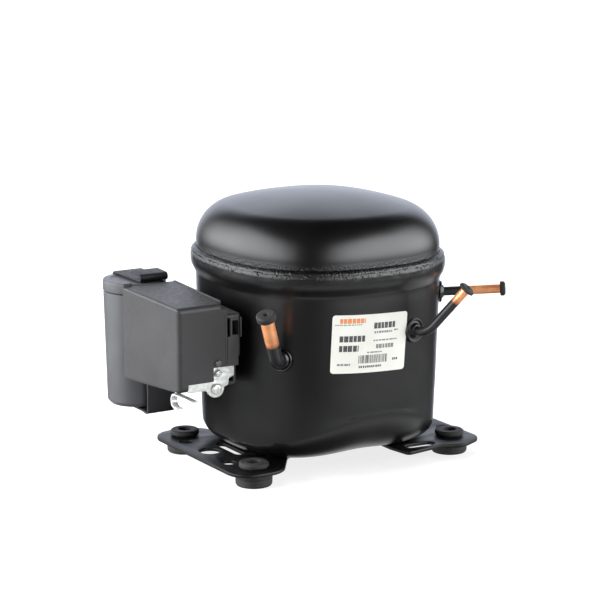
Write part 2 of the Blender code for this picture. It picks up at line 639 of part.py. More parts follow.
def make_crank(crank):
    shaft = add(cylinder("crankshaft", SHAFT_R, 80.0, 24), STEEL, (0, 0, 29.5), parent=crank)
    web = plate("web", [rounded([(-9, 16.5, 7.5), (-12, -4, 5), (-20, -8, 2), (-15, -17, 7),
                                 (15, -17, 7), (20, -8, 2), (12, -4, 5), (9, 16.5, 7.5)])], 6.0)
    boolean(shaft, web, 'UNION', (0, 0, 111.5))
    boolean(shaft, cylinder("pin", PIN_R, 26.0, 20), 'UNION', (0, THROW, 114.0))
    boolean(shaft, cylinder("gallery", 2.4, 6.0, 12), 'DIFFERENCE', (0, THROW / 2, 137.4))
    pickup = turned("oil_pickup", [(0.0, 29.1), (6.5, 29.1), (6.5, 26.0), (2.6, 20.5), (0.0, 20.5)], 12)
    add(pickup, STEEL, parent=crank)
    plug_axis = empty("gallery_plug_axis", (0, THROW / 2, 0), crank)
    plug = cylinder("oil_gallery_plug", 2.0, 1.8, 12)
    add(plug, STEEL, (0, THROW / 2, 137.9), parent=plug_axis)
    return plug_axis


def make_piston(crank):
    across = facing((1, 0, 0))
    along = facing((0, 1, 0))
    block_axis = empty("slide_block_axis", (0, THROW, 0), crank)
    slider = add(cylinder("slide_block", 11.7, 23.6, 20), STEEL, (-11.8, THROW, BORE_Z), across,
                 block_axis)
    boolean(slider, cylinder("hole", PIN_R + GAP, 40.0, 20), 'DIFFERENCE', (0, THROW, BORE_Z - 20))
    piston_axis = empty("piston_axis", (0, THROW, 0), SHELL_AXIS)
    piston = add(cylinder("piston", 15.0, 44.0, 24), ALUMINIUM, (-22.0, THROW, BORE_Z), across,
                 piston_axis)
    boolean(piston, cylinder("head", PISTON_R, 31.0, 28), 'UNION', (0, 20.0, BORE_Z), along)
    boolean(piston, cylinder("slideway", 12.0, 60.0, 20), 'DIFFERENCE', (-30.0, THROW, BORE_Z), across)
    entry = plate("entry", [slot(-9.3, 0, 9.3, 0, PIN_R + 0.4)], 14.0)
    boolean(piston, entry, 'DIFFERENCE', (0, THROW, BORE_Z - 13.0))


def make_block():
    corner = 50.0
    body = plate("cylinder_block", [rectangle(-corner, corner, -corner, corner, 7)], 8.0)
    add(body, IRON, (0, 0, 104.0))
    boolean(body, cylinder("hub", 17.0, 13.0, 24), 'UNION', (0, 0, 88.0))
    for sx in (-1, 1):
        for sy in (-1, 1):
            spot = (sx * POST, sy * POST)
            boolean(body, cylinder("post", 5.6, 19.7, 12), 'UNION', (*spot, STATOR_Z1 + GAP))
            boolean(body, cylinder("stud", 3.2, 60.0, 10), 'UNION', (*spot, 31.0 + 3.0))
    along = facing((0, 1, 0))
    boolean(body, cylinder("barrel", 22.0, BARREL_END - BARREL_START - 3, 24), 'UNION',
            (0, BARREL_START, BORE_Z), along)
    boolean(body, block("saddle", (30.0, 22.0, 16.0)), 'UNION', (0, 37.6, 111.0))
    flange = block("flange", (2 * HEAD_HALF, 8.0, 2 * HEAD_HALF))
    boolean(body, flange, 'UNION', (0, BARREL_END - 4.0, BORE_Z))
    boolean(body, cylinder("bore", BORE_R, 60.0, 28), 'DIFFERENCE', (0, 10.0, BORE_Z), along)
    bearing = cylinder("bearing", SHAFT_R + BEARING_CLEARANCE, 60.0, 24)
    boolean(body, bearing, 'DIFFERENCE', (0, 0, 70.0))
    for sx, sz in head_bolt_places():
        boolean(body, cylinder("bolt_hole", 2.6, 20.0, 10), 'DIFFERENCE',
                (sx, BARREL_END - 12.0, BORE_Z + sz), along)


def head_bolt_places():
    return [(sx * HEAD_BOLT, sz * HEAD_BOLT) for sx in (-1, 1) for sz in (-1, 1)]


def make_head():
    """Suction reed, valve plate, discharge reed, gasket, head and bolts, stacked along +Y."""
    along = facing((0, 1, 0))
    half = HEAD_HALF
    edge = rectangle(-half, half, -half, half, 6)
    bolts = [circle(x, z, 2.6, 10) for x, z in head_bolt_places()]
    plate_y = BARREL_END + 1.0
    reed_root, reed_tip = BORE_Z - 12.5, BORE_Z + 10.0
    reed_height, reed_mid = reed_tip - reed_root, (reed_tip + reed_root) / 2
    reed_hinge = empty("suction_reed_axis", (0, BARREL_END + 0.4, reed_root), SHELL_AXIS)
    add(block("suction_reed", (8.0, 0.4, reed_height)), STEEL, (0, BARREL_END + 0.4, reed_mid),
        parent=reed_hinge, smooth=False)
    ports = [circle(-6.5, -4.0, 2.2, 10), circle(0.0, 6.0, 2.2, 10)]
    valve = plate("valve_plate", [edge] + bolts + ports, 3.0)
    add(valve, STEEL, (0, plate_y + 1.5, BORE_Z), along, smooth=False)
    top = plate_y + 3.0
    reed_hinge = empty("discharge_reed_axis", (0, top + 0.6, reed_root + 2), SHELL_AXIS)
    add(block("discharge_reed", (7.0, 0.4, reed_height - 4.0)), STEEL, (0, top + 0.6, reed_mid),
        parent=reed_hinge, smooth=False)
    gasket = plate("head_gasket", [edge, rectangle(-15, 15, -15, 15, 3)] + bolts, 0.9)
    add(gasket, GASKET, (0, top + GAP + 0.45, BORE_Z), along, smooth=False)
    head_y = top + 2 * GAP + 0.9
    head = block("cylinder_head", (2 * half, 13.0, 2 * half), 2.0)
    add(head, ALUMINIUM, (0, head_y + 6.5, BORE_Z), smooth=False)
    boolean(head, block("plenum", (30.0, 18.0, 30.0)), 'DIFFERENCE', (0, head_y, BORE_Z))
    for x, z in head_bolt_places():
        boolean(head, cylinder("bolt_hole", 2.6, 20.0, 10), 'DIFFERENCE',
                (x, head_y - 3.0, BORE_Z + z), along)
    for number, (x, z) in enumerate(head_bolt_places(), 1):
        section = [(0.0, 4.0), (3.9, 4.0), (3.9, 0.0), (2.2, 0.0), (2.2, -24.0), (0.0, -24.0)]
        bolt = turned("head_bolt_" + str(number), section, 12)
        add(bolt, STEEL, (x, head_y + 13.0 + GAP, BORE_Z + z), along, smooth=False)
    return head_y


def make_gas_lines(head_y):
    body = add(block("suction_muffler", (20.0, 32.0, 36.0), 4.0), PALE_PLASTIC,
               (-40.0, 47.0, BORE_Z), smooth=False)
    boolean(body, cylinder("spout", 3.0, 5.0, 12), 'UNION', (-31.5, 60.0, BORE_Z), facing((1, 0, 0)))
    root, normal = on_wall(DISCHARGE["angle"], DISCHARGE["height"], -11.0)
    corners = [Vector((HEAD_HALF + 0.6, head_y + 5.0, BORE_Z)), Vector((46, head_y + 2.0, BORE_Z)),
               Vector((64, 38, 128)), Vector((70, 5, 124)), Vector((66, -30, 122)), root]
    add(wire("discharge_line", bent(corners, 9.0, 3), 2.4, 2), COPPER)


def make_springs():
    per_turn = 8
    for number, (sx, sy) in enumerate([(-1, -1), (1, -1), (-1, 1), (1, 1)], 1):
        count = SPRING_TURNS * per_turn
        coil = [Vector((FLOAT_SPRING_R * cos(2 * pi * i / per_turn),
                        FLOAT_SPRING_R * sin(2 * pi * i / per_turn),
                        SPRING_Z0 + (SPRING_Z1 - SPRING_Z0) * i / count)) for i in range(count + 1)]
        add(wire("suspension_spring_" + str(number), coil, SPRING_WIRE_R, 0), STEEL,
            (sx * POST, sy * POST, 0))


def make_strap():
    """One bent strap: front leg, under the can, up its rear, over the lid, curled at the front."""
    rear, top = CAN_Y + CAN_R + 1.4, CAN_TOP + GAP + STRAP_THICK / 2
    low = CAN_BOTTOM - GAP - STRAP_THICK / 2 - 0.8
    curl_r, curl_y = 2.1, 46.0
    path = bent([(35.8, 62.5), (35.8, low - 1.0), (46.0, low), (rear, low), (rear, top), (curl_y, top)],
                3.0)
    curl = [Vector((curl_y - curl_r * sin(a), top + curl_r - curl_r * cos(a))) for a in
            (radians(30 + 30 * i) for i in range(6))]
    curl.append(Vector((curl_y + 13.0, top + 2 * curl_r + 0.5)))
    strap = strip("capacitor_strap", path + curl, STRAP_THICK, STRAP_X1 - STRAP_X0)
    add(strap, BOX_PLASTIC, ((STRAP_X0 + STRAP_X1) / 2, 0, 0), SIDEWAYS)


make_shell()
make_feet()
make_tubes()
make_label()
make_terminal()
make_clamp(make_box())
make_capacitor()
make_strap()
CRANK = make_motor()
make_crank(CRANK)
make_piston(CRANK)
make_block()
make_gas_lines(make_head())
make_springs()
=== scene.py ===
"""Looks of a hermetic refrigeration compressor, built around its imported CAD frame.

The visible CAD pieces are replaced by finer ones of the same size, and every piece gets a
procedural material. Sizes are in millimetres in the shell's own frame, its axis at x = y = 0
and the floor at z = 0; piece() turns them into metres in the row frame.
"""
import random

import bmesh
import bpy
from math import atan2, cos, hypot, pi, radians, sin, tan, tau
from mathutils import Matrix, Quaternion, Vector, noise


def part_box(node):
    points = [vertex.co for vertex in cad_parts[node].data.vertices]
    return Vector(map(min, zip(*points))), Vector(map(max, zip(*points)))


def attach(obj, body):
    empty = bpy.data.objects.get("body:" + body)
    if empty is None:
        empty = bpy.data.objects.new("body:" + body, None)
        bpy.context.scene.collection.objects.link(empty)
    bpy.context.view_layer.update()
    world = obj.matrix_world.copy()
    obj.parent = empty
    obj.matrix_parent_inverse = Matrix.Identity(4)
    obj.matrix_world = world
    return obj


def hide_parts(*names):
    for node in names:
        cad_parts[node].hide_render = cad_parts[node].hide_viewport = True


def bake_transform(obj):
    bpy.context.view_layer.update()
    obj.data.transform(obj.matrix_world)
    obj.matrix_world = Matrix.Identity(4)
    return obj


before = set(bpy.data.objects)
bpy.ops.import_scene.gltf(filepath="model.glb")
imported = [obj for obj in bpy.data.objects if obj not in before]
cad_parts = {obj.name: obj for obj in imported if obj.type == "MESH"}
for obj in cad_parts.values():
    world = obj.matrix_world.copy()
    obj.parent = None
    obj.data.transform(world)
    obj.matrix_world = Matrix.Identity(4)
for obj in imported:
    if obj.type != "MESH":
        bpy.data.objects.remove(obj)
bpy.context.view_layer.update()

MM = 0.001
COVER_LOW, COVER_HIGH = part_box("upper_shell")
AXIS = Vector(((COVER_LOW.x + COVER_HIGH.x) / 2, (COVER_LOW.y + COVER_HIGH.y) / 2, 0)) / MM

# Foot pattern and foot plates
FOOT_X, FOOT_Y = 165.1 / 2, 101.6 / 2
PLATE_BOTTOM, PLATE_THICK, PLATE_EDGE = 9.5, 2.6, 0.7
FOOT_HOLE_R = 8.3

# Shell
HALF_X, HALF_Y, PLAN_POWER = 82.0, 89.0, 2.4
SHELL_THICK = 3.0
SHELL_BOTTOM = 12.45
FOOT_WALL = 84.9
FLAT_REACH, FLAT_RISE, ROUND_REACH, ROUND_RISE = 19.0, 12.0, 46.0, 36.0
RIM_R, RIM_TOP = 92.2, 149.5
COVER_R, COVER_FOOT, COVER_SHOULDER, COVER_CORNER = 88.2, 143.5, 157.0, 29.0
CROWN_TILT = radians(15.5)
TERMINAL_HOLE_R, TERMINAL_Z = 15.4, 98.0
AROUND = 288

# Tubes: plan angle and height of the wall point, tube and collar radius, plug size,
# and how far along the tube the black paint reaches
TUBE_WALL = 0.8
START_INSIDE = 7.0
SUCTION = {"angle": radians(-137.8), "height": 89.0, "tube_r": 4.75, "collar_r": 8.7,
           "plug_r": 6.8, "plug_height": 5.0, "paint": 28.5}
PROCESS = {"angle": radians(-72.0), "height": 104.0, "tube_r": 3.2, "collar_r": 8.8,
           "plug_r": 5.8, "plug_height": 3.0, "paint": 48.0}
DISCHARGE = {"angle": radians(-39.0), "height": 122.0, "tube_r": 3.2, "collar_r": 7.8,
             "plug_r": 5.2, "plug_height": 4.0, "paint": 26.0}

# Electrical box on the -X side
BOX_OUT_FRONT, BOX_OUT_REAR, BOX_SPLIT, BOX_BACK = -133.8, -137.6, -95.4, -84.4
BOX_FRONT, BOX_REAR = -37.5, 38.5
BOX_FRONT_Z, BOX_REAR_Z = (68.6, 128.0), (64.0, 131.0)
BOX_WALL, LONG_EDGE = 2.2, 2.0
CLAMP_Y = -34.35
COVER_SCREW, CLAMP_SCREW, PLATE_SCREW = (-102.8, 86.7), (-103.2, 68.0), (-102.0, 79.0)
GAP = 0.35

# Start capacitor and its strap
CAN_X, CAN_Y, CAN_BOTTOM, CAN_LID, CAN_TOP = -115.0, 64.0, 39.0, 122.5, 130.5
CAN_FOOT_R, CAN_R = 20.8, 22.5
STRAP_X0, STRAP_X1, STRAP_THICK = -120.5, -98.5, 1.6

# Camera, as direction from the object and lens
VIEW_AZIMUTH, VIEW_ELEVATION, VIEW_DISTANCE = radians(-31.4), radians(12.9), 1.70
AIM_HEIGHT = 90.0
LENS, SHIFT_X, SHIFT_Y = 140.45, -0.0282, 0.0517

# Brightness of the room's two sides, which only reflections see
SIDE_GLOW = 6.5


# ---- forms in millimetres
def fillet(before, corner, after, radius, steps):
    """Points of the arc that rounds one corner of a path, in the plane or in space."""
    back = (before - corner).normalized()
    ahead = (after - corner).normalized()
    half = back.angle(ahead) / 2
    centre = corner + (back + ahead).normalized() * (radius / sin(half))
    start = corner + back * (radius / tan(half)) - centre
    end = corner + ahead * (radius / tan(half)) - centre
    return [centre + start.slerp(end, i / steps).normalized() * radius for i in range(steps + 1)]


def bent(points, radius, steps=10):
    """A path through points with every inner corner rounded by the same radius."""
    spots = [Vector(p) for p in points]
    path = [spots[0]]
    for before, corner, after in zip(spots, spots[1:], spots[2:]):
        path += fillet(before, corner, after, radius, steps)
    return path + [spots[-1]]


def rounded(corners, steps=8):
    """A closed flat outline from (x, y, corner radius) corners."""
    spots = [Vector(corner[:2]) for corner in corners]
    outline = []
    for i, (spot, corner) in enumerate(zip(spots, corners)):
        following = spots[(i + 1) % len(spots)]
        outline += fillet(spots[i - 1], spot, following, corner[2], steps) if corner[2] else [spot]
    return outline


def around(x, y, radius, angle):
    """A flat point at an angle on a circle."""
    return Vector((x + radius * cos(angle), y + radius * sin(angle)))


def circle(x, y, radius, steps=48):
    return [around(x, y, radius, tau * i / steps) for i in range(steps)]


def slot(x0, y0, x1, y1, radius):
    """A slot outline between two centres."""
    steps = 12
    along = atan2(y1 - y0, x1 - x0)
    ends = ((x1, y1, along - pi / 2), (x0, y0, along + pi / 2))
    return [around(x, y, radius, a + pi * i / steps) for x, y, a in ends for i in range(steps + 1)]


def lathe(profile, steps=64, plan=None, closed=False, vary=None):
    """A turned form on local Z from (radius, height) points.

    plan scales the radius by angle, and vary gives the profile of one angle."""
    work = bmesh.new()
    turns = [tau * i / steps for i in range(steps)]
    scales = [plan(a) if plan else 1.0 for a in turns]
    profiles = [vary(a) for a in turns] if vary else [profile] * steps
    rings = []
    for row, (r, z) in enumerate(profile):
        spots = [(0, 0, z)] if r == 0 else [(own[row][0] * s * cos(a), own[row][0] * s * sin(a),
                                             own[row][1]) for a, s, own in zip(turns, scales, profiles)]
        rings.append([work.verts.new(spot) for spot in spots])
    pairs = list(zip(rings, rings[1:])) + ([(rings[-1], rings[0])] if closed else [])
    for upper, lower in pairs:
        for i in range(steps):
            j = (i + 1) % steps
            corners = [upper[i % len(upper)], lower[i % len(lower)],
                       lower[j % len(lower)], upper[j % len(upper)]]
            corners = list(dict.fromkeys(corners))
            if len(corners) > 2:
                work.faces.new(corners)
    bmesh.ops.recalc_face_normals(work, faces=work.faces)
    return work


def rounded_lathe(corners, steps=64, closed=True, arc=4):
    """A turned form whose section has rounded corners: (radius, height, corner radius)."""
    return lathe([tuple(p) for p in rounded(corners, arc)], steps, closed=closed)


def frames(path):
    """A pair of cross directions at each point of a path, carried along it without twist."""
    tangents = [(path[min(i + 1, len(path) - 1)] - path[max(i - 1, 0)]).normalized()
                for i in range(len(path))]
    side = tangents[0].orthogonal().normalized()
    pairs = []
    for i, tangent in enumerate(tangents):
        if i:
            side = tangents[i - 1].rotation_difference(tangent) @ side
        pairs.append((side, tangent.cross(side)))
    return pairs


def bridge(work, first, second):
    """Faces all the way around, between two rings of points."""
    for k in range(len(first)):
        j = (k + 1) % len(first)
        work.faces.new((first[k], first[j], second[j], second[k]))


def sweep(path, radius, wall=0.0, sides=32):
    """A round bar or, with a wall, a tube along a path; 'run' keeps the distance along it."""
    work = bmesh.new()
    run_layer = work.verts.layers.float.new("run")
    skins = []
    for r in ([radius, radius - wall] if wall else [radius]):
        run, rings = 0.0, []
        for i, (spot, (side, up)) in enumerate(zip(path, frames(path))):
            run += (spot - path[i - 1]).length if i else 0.0
            ring = [work.verts.new(spot + side * (r * cos(tau * k / sides))
                                   + up * (r * sin(tau * k / sides))) for k in range(sides)]
            for vert in ring:
                vert[run_layer] = run
            rings.append(ring)
        skins.append(rings)
    for rings in skins:
        for first, second in zip(rings, rings[1:]):
            bridge(work, first, second)
    for end in (0, -1):
        if wall:
            bridge(work, skins[0][end], skins[1][end])
        else:
            work.faces.new(skins[0][end])
    bmesh.ops.recalc_face_normals(work, faces=work.faces)
    return work


def added(name, data):
    """A new object of the scene."""
    obj = bpy.data.objects.new(name, data)
    bpy.context.scene.collection.objects.link(obj)
    return obj


def as_mesh(name, work):
    mesh = bpy.data.meshes.new(name)
    work.to_mesh(mesh)
    work.free()
    return mesh


def evaluated(obj):
    """The shape of a curve or modified object as a bmesh; the object is removed."""
    bpy.context.view_layer.update()
    mesh = bpy.data.meshes.new_from_object(obj.evaluated_get(bpy.context.evaluated_depsgraph_get()))
    bpy.data.objects.remove(obj)
    work = bmesh.new()
    work.from_mesh(mesh)
    bpy.data.meshes.remove(mesh)
    return work


def plate(outlines, thickness, edge=0.3):
    """A flat plate in local XY, centred on z = 0, with rounded edges: its outline, then holes."""
    curve = bpy.data.curves.new("plate", 'CURVE')
    curve.dimensions = '2D'
    curve.fill_mode = 'BOTH'
    curve.extrude = thickness / 2 - edge
    curve.bevel_depth = edge
    curve.bevel_resolution = 2
    curve.offset = -edge
    for outline in outlines:
        spline = curve.splines.new('POLY')
        spline.points.add(len(outline) - 1)
        for point, spot in zip(spline.points, outline):
            point.co = (spot[0], spot[1], 0, 1)
        spline.use_cyclic_u = True
    work = evaluated(added("plate", curve))
    bmesh.ops.remove_doubles(work, verts=work.verts, dist=0.001)
    return work


def box(size, at=(0, 0, 0)):
    work = bmesh.new()
    bmesh.ops.create_cube(work, size=1.0)
    bmesh.ops.scale(work, verts=work.verts, vec=size)
    bmesh.ops.translate(work, verts=work.verts, vec=at)
    return work


def rod(radius, length, sides=32, at=(0, 0, 0), turn=None):
    """A cylinder that stands on its own origin, turned and then moved into place."""
    work = bmesh.new()
    bmesh.ops.create_cone(work, cap_ends=True, segments=sides, radius1=radius, radius2=radius,
                          depth=length, matrix=Matrix.Translation((0, 0, length / 2)))
    return moved(work, at, turn)


def moved(work, at=(0, 0, 0), turn=None):
    matrix = Matrix.Translation(at) @ (turn.to_matrix().to_4x4() if turn else Matrix())
    work.transform(matrix)
    return work


def shaped(work, *steps, cuts=()):
    """The form after modifiers, each given as (kind, settings), less what other forms cut away."""
    obj = added("form", as_mesh("form", work))
    for kind, settings in steps:
        modifier = obj.modifiers.new(kind.lower(), kind)
        for key, value in settings.items():
            setattr(modifier, key, value)
    tools = [added("tool", as_mesh("tool", cut)) for cut in cuts]
    for tool in tools:
        modifier = obj.modifiers.new("tool", 'BOOLEAN')
        modifier.operation = 'DIFFERENCE'
        modifier.object = tool
    made = evaluated(obj)
    for tool in tools:
        bpy.data.objects.remove(tool)
    return made


def joined(*works):
    """Several forms as one mesh."""
    total = bmesh.new()
    for work in works:
        mesh = as_mesh("part", work)
        total.from_mesh(mesh)
        bpy.data.meshes.remove(mesh)
    return total


def facing(direction):
    """The turn that points local Z along a direction."""
    return Vector(direction).to_track_quat('Z', 'Y')


SIDEWAYS = Quaternion((0.5, 0.5, 0.5, 0.5))      # local X, Y, Z point along Y, Z, X
ROUND = {"limit_method": 'ANGLE', "angle_limit": radians(30), "harden_normals": False}


def piece(name, work, look, body="shell", nodes=(), at=(0, 0, 0), turn=None, sharp=38,
          flat=False):
    """Put a finished form into the scene: its place, material, body, and the nodes it replaces.

    A piece given no body is attached to no body empty."""
    place = Matrix.Translation((Vector(at) + AXIS) * MM)
    place = place @ (turn.to_matrix().to_4x4() if turn else Matrix()) @ Matrix.Scale(MM, 4)
    work.transform(place)
    mesh = as_mesh(name, work)
    mesh.shade_smooth()
    mesh.set_sharp_from_angle(angle=radians(sharp))
    mesh.materials.append(look)
    obj = added(name, mesh)
    if flat:
        obj.modifiers.new("even shading", 'WEIGHTED_NORMAL').keep_sharp = True
    if body:
        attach(obj, body)
    if nodes:
        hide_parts(*nodes)
    return obj


# ---- materials
class Nodes:
    """The node tree of a material or world, with short calls for the nodes used here."""

    def __init__(self, owner, coordinates="Object"):
        owner.use_nodes = True
        self.tree = owner.node_tree
        self.place = self.node("ShaderNodeTexCoord").outputs[coordinates]

    def link(self, source, target):
        self.tree.links.new(source, target)

    def node(self, kind, vector=None, **values):
        """A new node with values on its sockets, and the vector that a texture reads."""
        node = self.tree.nodes.new(kind)
        for key, value in values.items():
            node.inputs[key.replace("_", " ")].default_value = value
        if vector:
            self.link(vector, node.inputs["Vector"])
        return node

    def stretched(self, scale):
        return self.node("ShaderNodeMapping", self.place, Scale=scale).outputs["Vector"]

    def noise(self, scale, detail=3.0, rough=0.55, vector=None):
        return self.node("ShaderNodeTexNoise", vector or self.place, Scale=scale, Detail=detail,
                         Roughness=rough).outputs["Fac"]

    def cells(self, scale):
        return self.node("ShaderNodeTexVoronoi", self.place, Scale=scale).outputs["Distance"]

    def wave(self, scale, direction='X', distortion=0.0):
        node = self.node("ShaderNodeTexWave", self.place, Scale=scale, Distortion=distortion)
        node.bands_direction = direction
        return node.outputs["Fac"]

    def span(self, value, low, high, to_low=0.0, to_high=1.0, smooth=False):
        node = self.node("ShaderNodeMapRange", From_Min=low, From_Max=high, To_Min=to_low,
                         To_Max=to_high)
        if smooth:
            node.interpolation_type = 'SMOOTHSTEP'
        self.link(value, node.inputs["Value"])
        return node.outputs["Result"]

    def math(self, operation, a, b):
        node = self.node("ShaderNodeMath")
        node.operation = operation
        for value, socket in zip((a, b), node.inputs):
            if isinstance(value, (int, float)):
                socket.default_value = value
            else:
                self.link(value, socket)
        return node.outputs["Value"]

    def blend(self, factor, dark, light):
        """A colour between two, by a factor."""
        node = self.node("ShaderNodeMix")
        node.data_type = 'RGBA'
        self.link(factor, node.inputs["Factor"])
        for value, index in ((dark, 6), (light, 7)):
            if isinstance(value, tuple):
                node.inputs[index].default_value = (*value, 1.0)
            else:
                self.link(value, node.inputs[index])
        return node.outputs[2]


class Look(Nodes):
    """A material: its shader's own values, and what varies over the surface."""

    def __init__(self, name, **values):
        self.material = bpy.data.materials.new(name)
        super().__init__(self.material)
        self.shader = self.tree.nodes["Principled BSDF"]
        self.fixed(**values)

    def fixed(self, **values):
        """Sockets of the shader that hold one value all over the surface."""
        for key, value in values.items():
            self.shader.inputs[key.replace("_", " ")].default_value = value

    def attribute(self, name):
        node = self.node("ShaderNodeAttribute")
        node.attribute_name = name
        return node.outputs["Fac"]

    def edges(self, low, high):
        """1 on outer edges, by how sharply the surface turns there."""
        return self.span(self.node("ShaderNodeNewGeometry").outputs["Pointiness"], low, high)

    def colour(self, value):
        self.link(value, self.shader.inputs["Base Color"])

    def rough(self, value):
        self.link(value, self.shader.inputs["Roughness"])

    def metal(self, value):
        self.link(value, self.shader.inputs["Metallic"])

    def bump(self, *heights):
        """Fine relief: (height, depth in metres) pairs, one on another. Gives the material."""
        normal = None
        for height, depth in heights:
            node = self.node("ShaderNodeBump", Strength=1.0, Distance=depth)
            self.link(height, node.inputs["Height"])
            if normal:
                self.link(normal, node.inputs["Normal"])
            normal = node.outputs["Normal"]
        self.link(normal, self.shader.inputs["Normal"])
        return self.material


def black_paint(name, spatter=0.0, specular=0.5, matt=0.0):
    """Satin black enamel on steel: orange peel, soft clouds, faint dust, worn edges."""
    look = Look(name, Specular_IOR_Level=specular)
    cloud = look.noise(14.0, 4.0)
    peel = look.noise(1100.0, 2.0)
    dust = look.span(look.noise(2600.0, 1.0), 0.70, 0.78)
    tone = look.blend(look.span(cloud, 0.3, 0.7), (0.0012, 0.0012, 0.0013), (0.0024, 0.0024, 0.0026))
    worn = look.math('MULTIPLY', look.edges(0.56, 0.72), look.span(look.noise(260.0), 0.45, 0.7))
    tone = look.blend(look.math('MULTIPLY', worn, 0.7), tone, (0.14, 0.14, 0.143))
    look.colour(look.blend(look.math('MULTIPLY', dust, 0.05), tone, (0.08, 0.08, 0.08)))
    look.rough(look.math('ADD', look.span(cloud, 0.25, 0.75, 0.27 + matt, 0.33 + matt),
                         look.math('MULTIPLY', dust, 0.1)))
    heights = [(peel, 0.00002), (look.noise(60.0, 2.0), 0.00012)]
    if spatter:
        near = look.attribute("spatter")
        lumps = look.span(look.cells(520.0), 0.05, 0.45, 1.0, 0.0)
        rough = look.math('MULTIPLY', look.math('ADD', lumps, look.noise(900.0, 4.0)), near)
        heights.append((rough, spatter))
    return look.bump(*heights)


def rubber(name):
    look = Look(name, Specular_IOR_Level=0.3)
    cloud = look.noise(90.0, 4.0)
    tone = look.blend(look.span(cloud, 0.3, 0.7), (0.011, 0.011, 0.0115), (0.022, 0.022, 0.0215))
    bloom = look.math('MULTIPLY', look.edges(0.52, 0.66), look.noise(420.0))
    look.colour(look.blend(look.math('MULTIPLY', bloom, 0.6), tone, (0.12, 0.12, 0.115)))
    look.rough(look.span(cloud, 0.3, 0.7, 0.55, 0.75))
    return look.bump((look.noise(1500.0, 3.0), 0.00006))


def copper(name, painted=None):
    """Drawn copper tube, with black paint up to a distance along it in millimetres."""
    look = Look(name)
    stain = look.noise(120.0, 5.0)
    fine = look.noise(900.0, 2.0)
    tone = look.blend(look.span(stain, 0.35, 0.7), (0.95, 0.45, 0.22), (0.74, 0.29, 0.12))
    tone = look.blend(look.span(look.noise(45.0, 2.0), 0.55, 0.75), tone, (0.50, 0.19, 0.09))
    rough = look.span(fine, 0.3, 0.7, 0.30, 0.42)
    if painted is None:
        look.fixed(Metallic=0.6)
        look.colour(tone)
        look.rough(rough)
    else:
        run = look.math('ADD', look.attribute("run"), look.span(look.noise(300.0), 0, 1, -0.9, 0.9))
        bare = look.span(run, painted - 0.3, painted + 0.3)
        singed = look.span(run, painted, painted + 4.0)
        tone = look.blend(singed, (0.30, 0.10, 0.045), tone)
        look.colour(look.blend(bare, (0.011, 0.011, 0.012), tone))
        look.metal(look.math('MULTIPLY', bare, 0.6))
        look.rough(rough)
    return look.bump((fine, 0.00003), (look.noise(220.0, 1.0), 0.00008))


def plastic(name, dark, light, rough=0.5, grain=0.00007, specular=0.5):
    """Moulded plastic with a fine spark-eroded grain, faint flow marks and rubbed edges."""
    look = Look(name, Specular_IOR_Level=specular)
    cloud = look.noise(28.0, 3.0)
    tone = look.blend(look.span(cloud, 0.3, 0.7), dark, light)
    rubbed = look.math('MULTIPLY', look.edges(0.54, 0.68), 0.35)
    look.colour(look.blend(rubbed, tone, tuple(min(1.0, 2.6 * c + 0.02) for c in light)))
    look.rough(look.span(look.noise(300.0, 2.0), 0.3, 0.7, rough - 0.05, rough + 0.07))
    return look.bump((look.noise(2400.0, 2.0), grain), (look.noise(35.0, 1.0), 0.0001))


def plated(name, dark, light, rough, scratch=700.0, metallic=1.0):
    """Plated or bare metal: spangle, brushed lines and stains."""
    look = Look(name, Metallic=metallic)
    spangle = look.cells(380.0)
    stain = look.noise(110.0, 4.0)
    lines = look.noise(scratch, 2.0, vector=look.stretched((1.0, 1.0, 0.08)))
    tone = look.blend(look.span(spangle, 0.1, 0.8), light, dark)
    look.colour(look.blend(look.span(stain, 0.55, 0.8), tone, tuple(0.7 * c for c in dark)))
    look.rough(look.math('ADD', look.span(stain, 0.3, 0.7, rough - 0.06, rough + 0.06),
                         look.span(lines, 0.3, 0.7, -0.04, 0.04)))
    return look.bump((lines, 0.00003), (spangle, 0.00004))


def cast_iron(name):
    look = Look(name, Metallic=0.85)
    grain = look.noise(800.0, 5.0, 0.7)
    look.colour(look.blend(look.span(grain, 0.35, 0.65), (0.07, 0.07, 0.075), (0.19, 0.19, 0.2)))
    look.rough(look.span(grain, 0.3, 0.7, 0.5, 0.7))
    return look.bump((grain, 0.0002), (look.noise(120.0, 2.0), 0.0002))


def lamination(name):
    """Stacked electrical steel: half-millimetre sheets seen edge on."""
    look = Look(name, Metallic=0.9)
    sheets = look.wave(300.0, 'Z')
    stain = look.noise(90.0, 4.0)
    tone = look.blend(sheets, (0.10, 0.105, 0.115), (0.30, 0.31, 0.33))
    look.colour(look.blend(look.span(stain, 0.55, 0.75), tone, (0.16, 0.09, 0.05)))
    look.rough(look.span(stain, 0.3, 0.7, 0.38, 0.55))
    return look.bump((sheets, 0.0002))


def winding(name):
    """Enamelled magnet wire with varnish."""
    look = Look(name, Metallic=0.75, Coat_Weight=0.6, Coat_Roughness=0.12)
    strands = look.wave(230.0, 'DIAGONAL', 3.0)
    varnish = look.noise(70.0, 4.0)
    tone = look.blend(strands, (0.22, 0.07, 0.02), (0.66, 0.28, 0.10))
    look.colour(look.blend(look.span(varnish, 0.55, 0.8), tone, (0.20, 0.08, 0.03)))
    look.rough(look.span(varnish, 0.3, 0.7, 0.28, 0.45))
    return look.bump((strands, 0.0004))


def paper(name):
    look = Look(name, Coat_Weight=0.25, Coat_Roughness=0.25)
    cloud = look.noise(60.0, 3.0)
    look.colour(look.blend(look.span(cloud, 0.3, 0.7), (0.73, 0.74, 0.685), (0.79, 0.80, 0.745)))
    look.rough(look.span(cloud, 0.3, 0.7, 0.38, 0.5))
    return look.bump((look.noise(2200.0, 3.0), 0.00001))


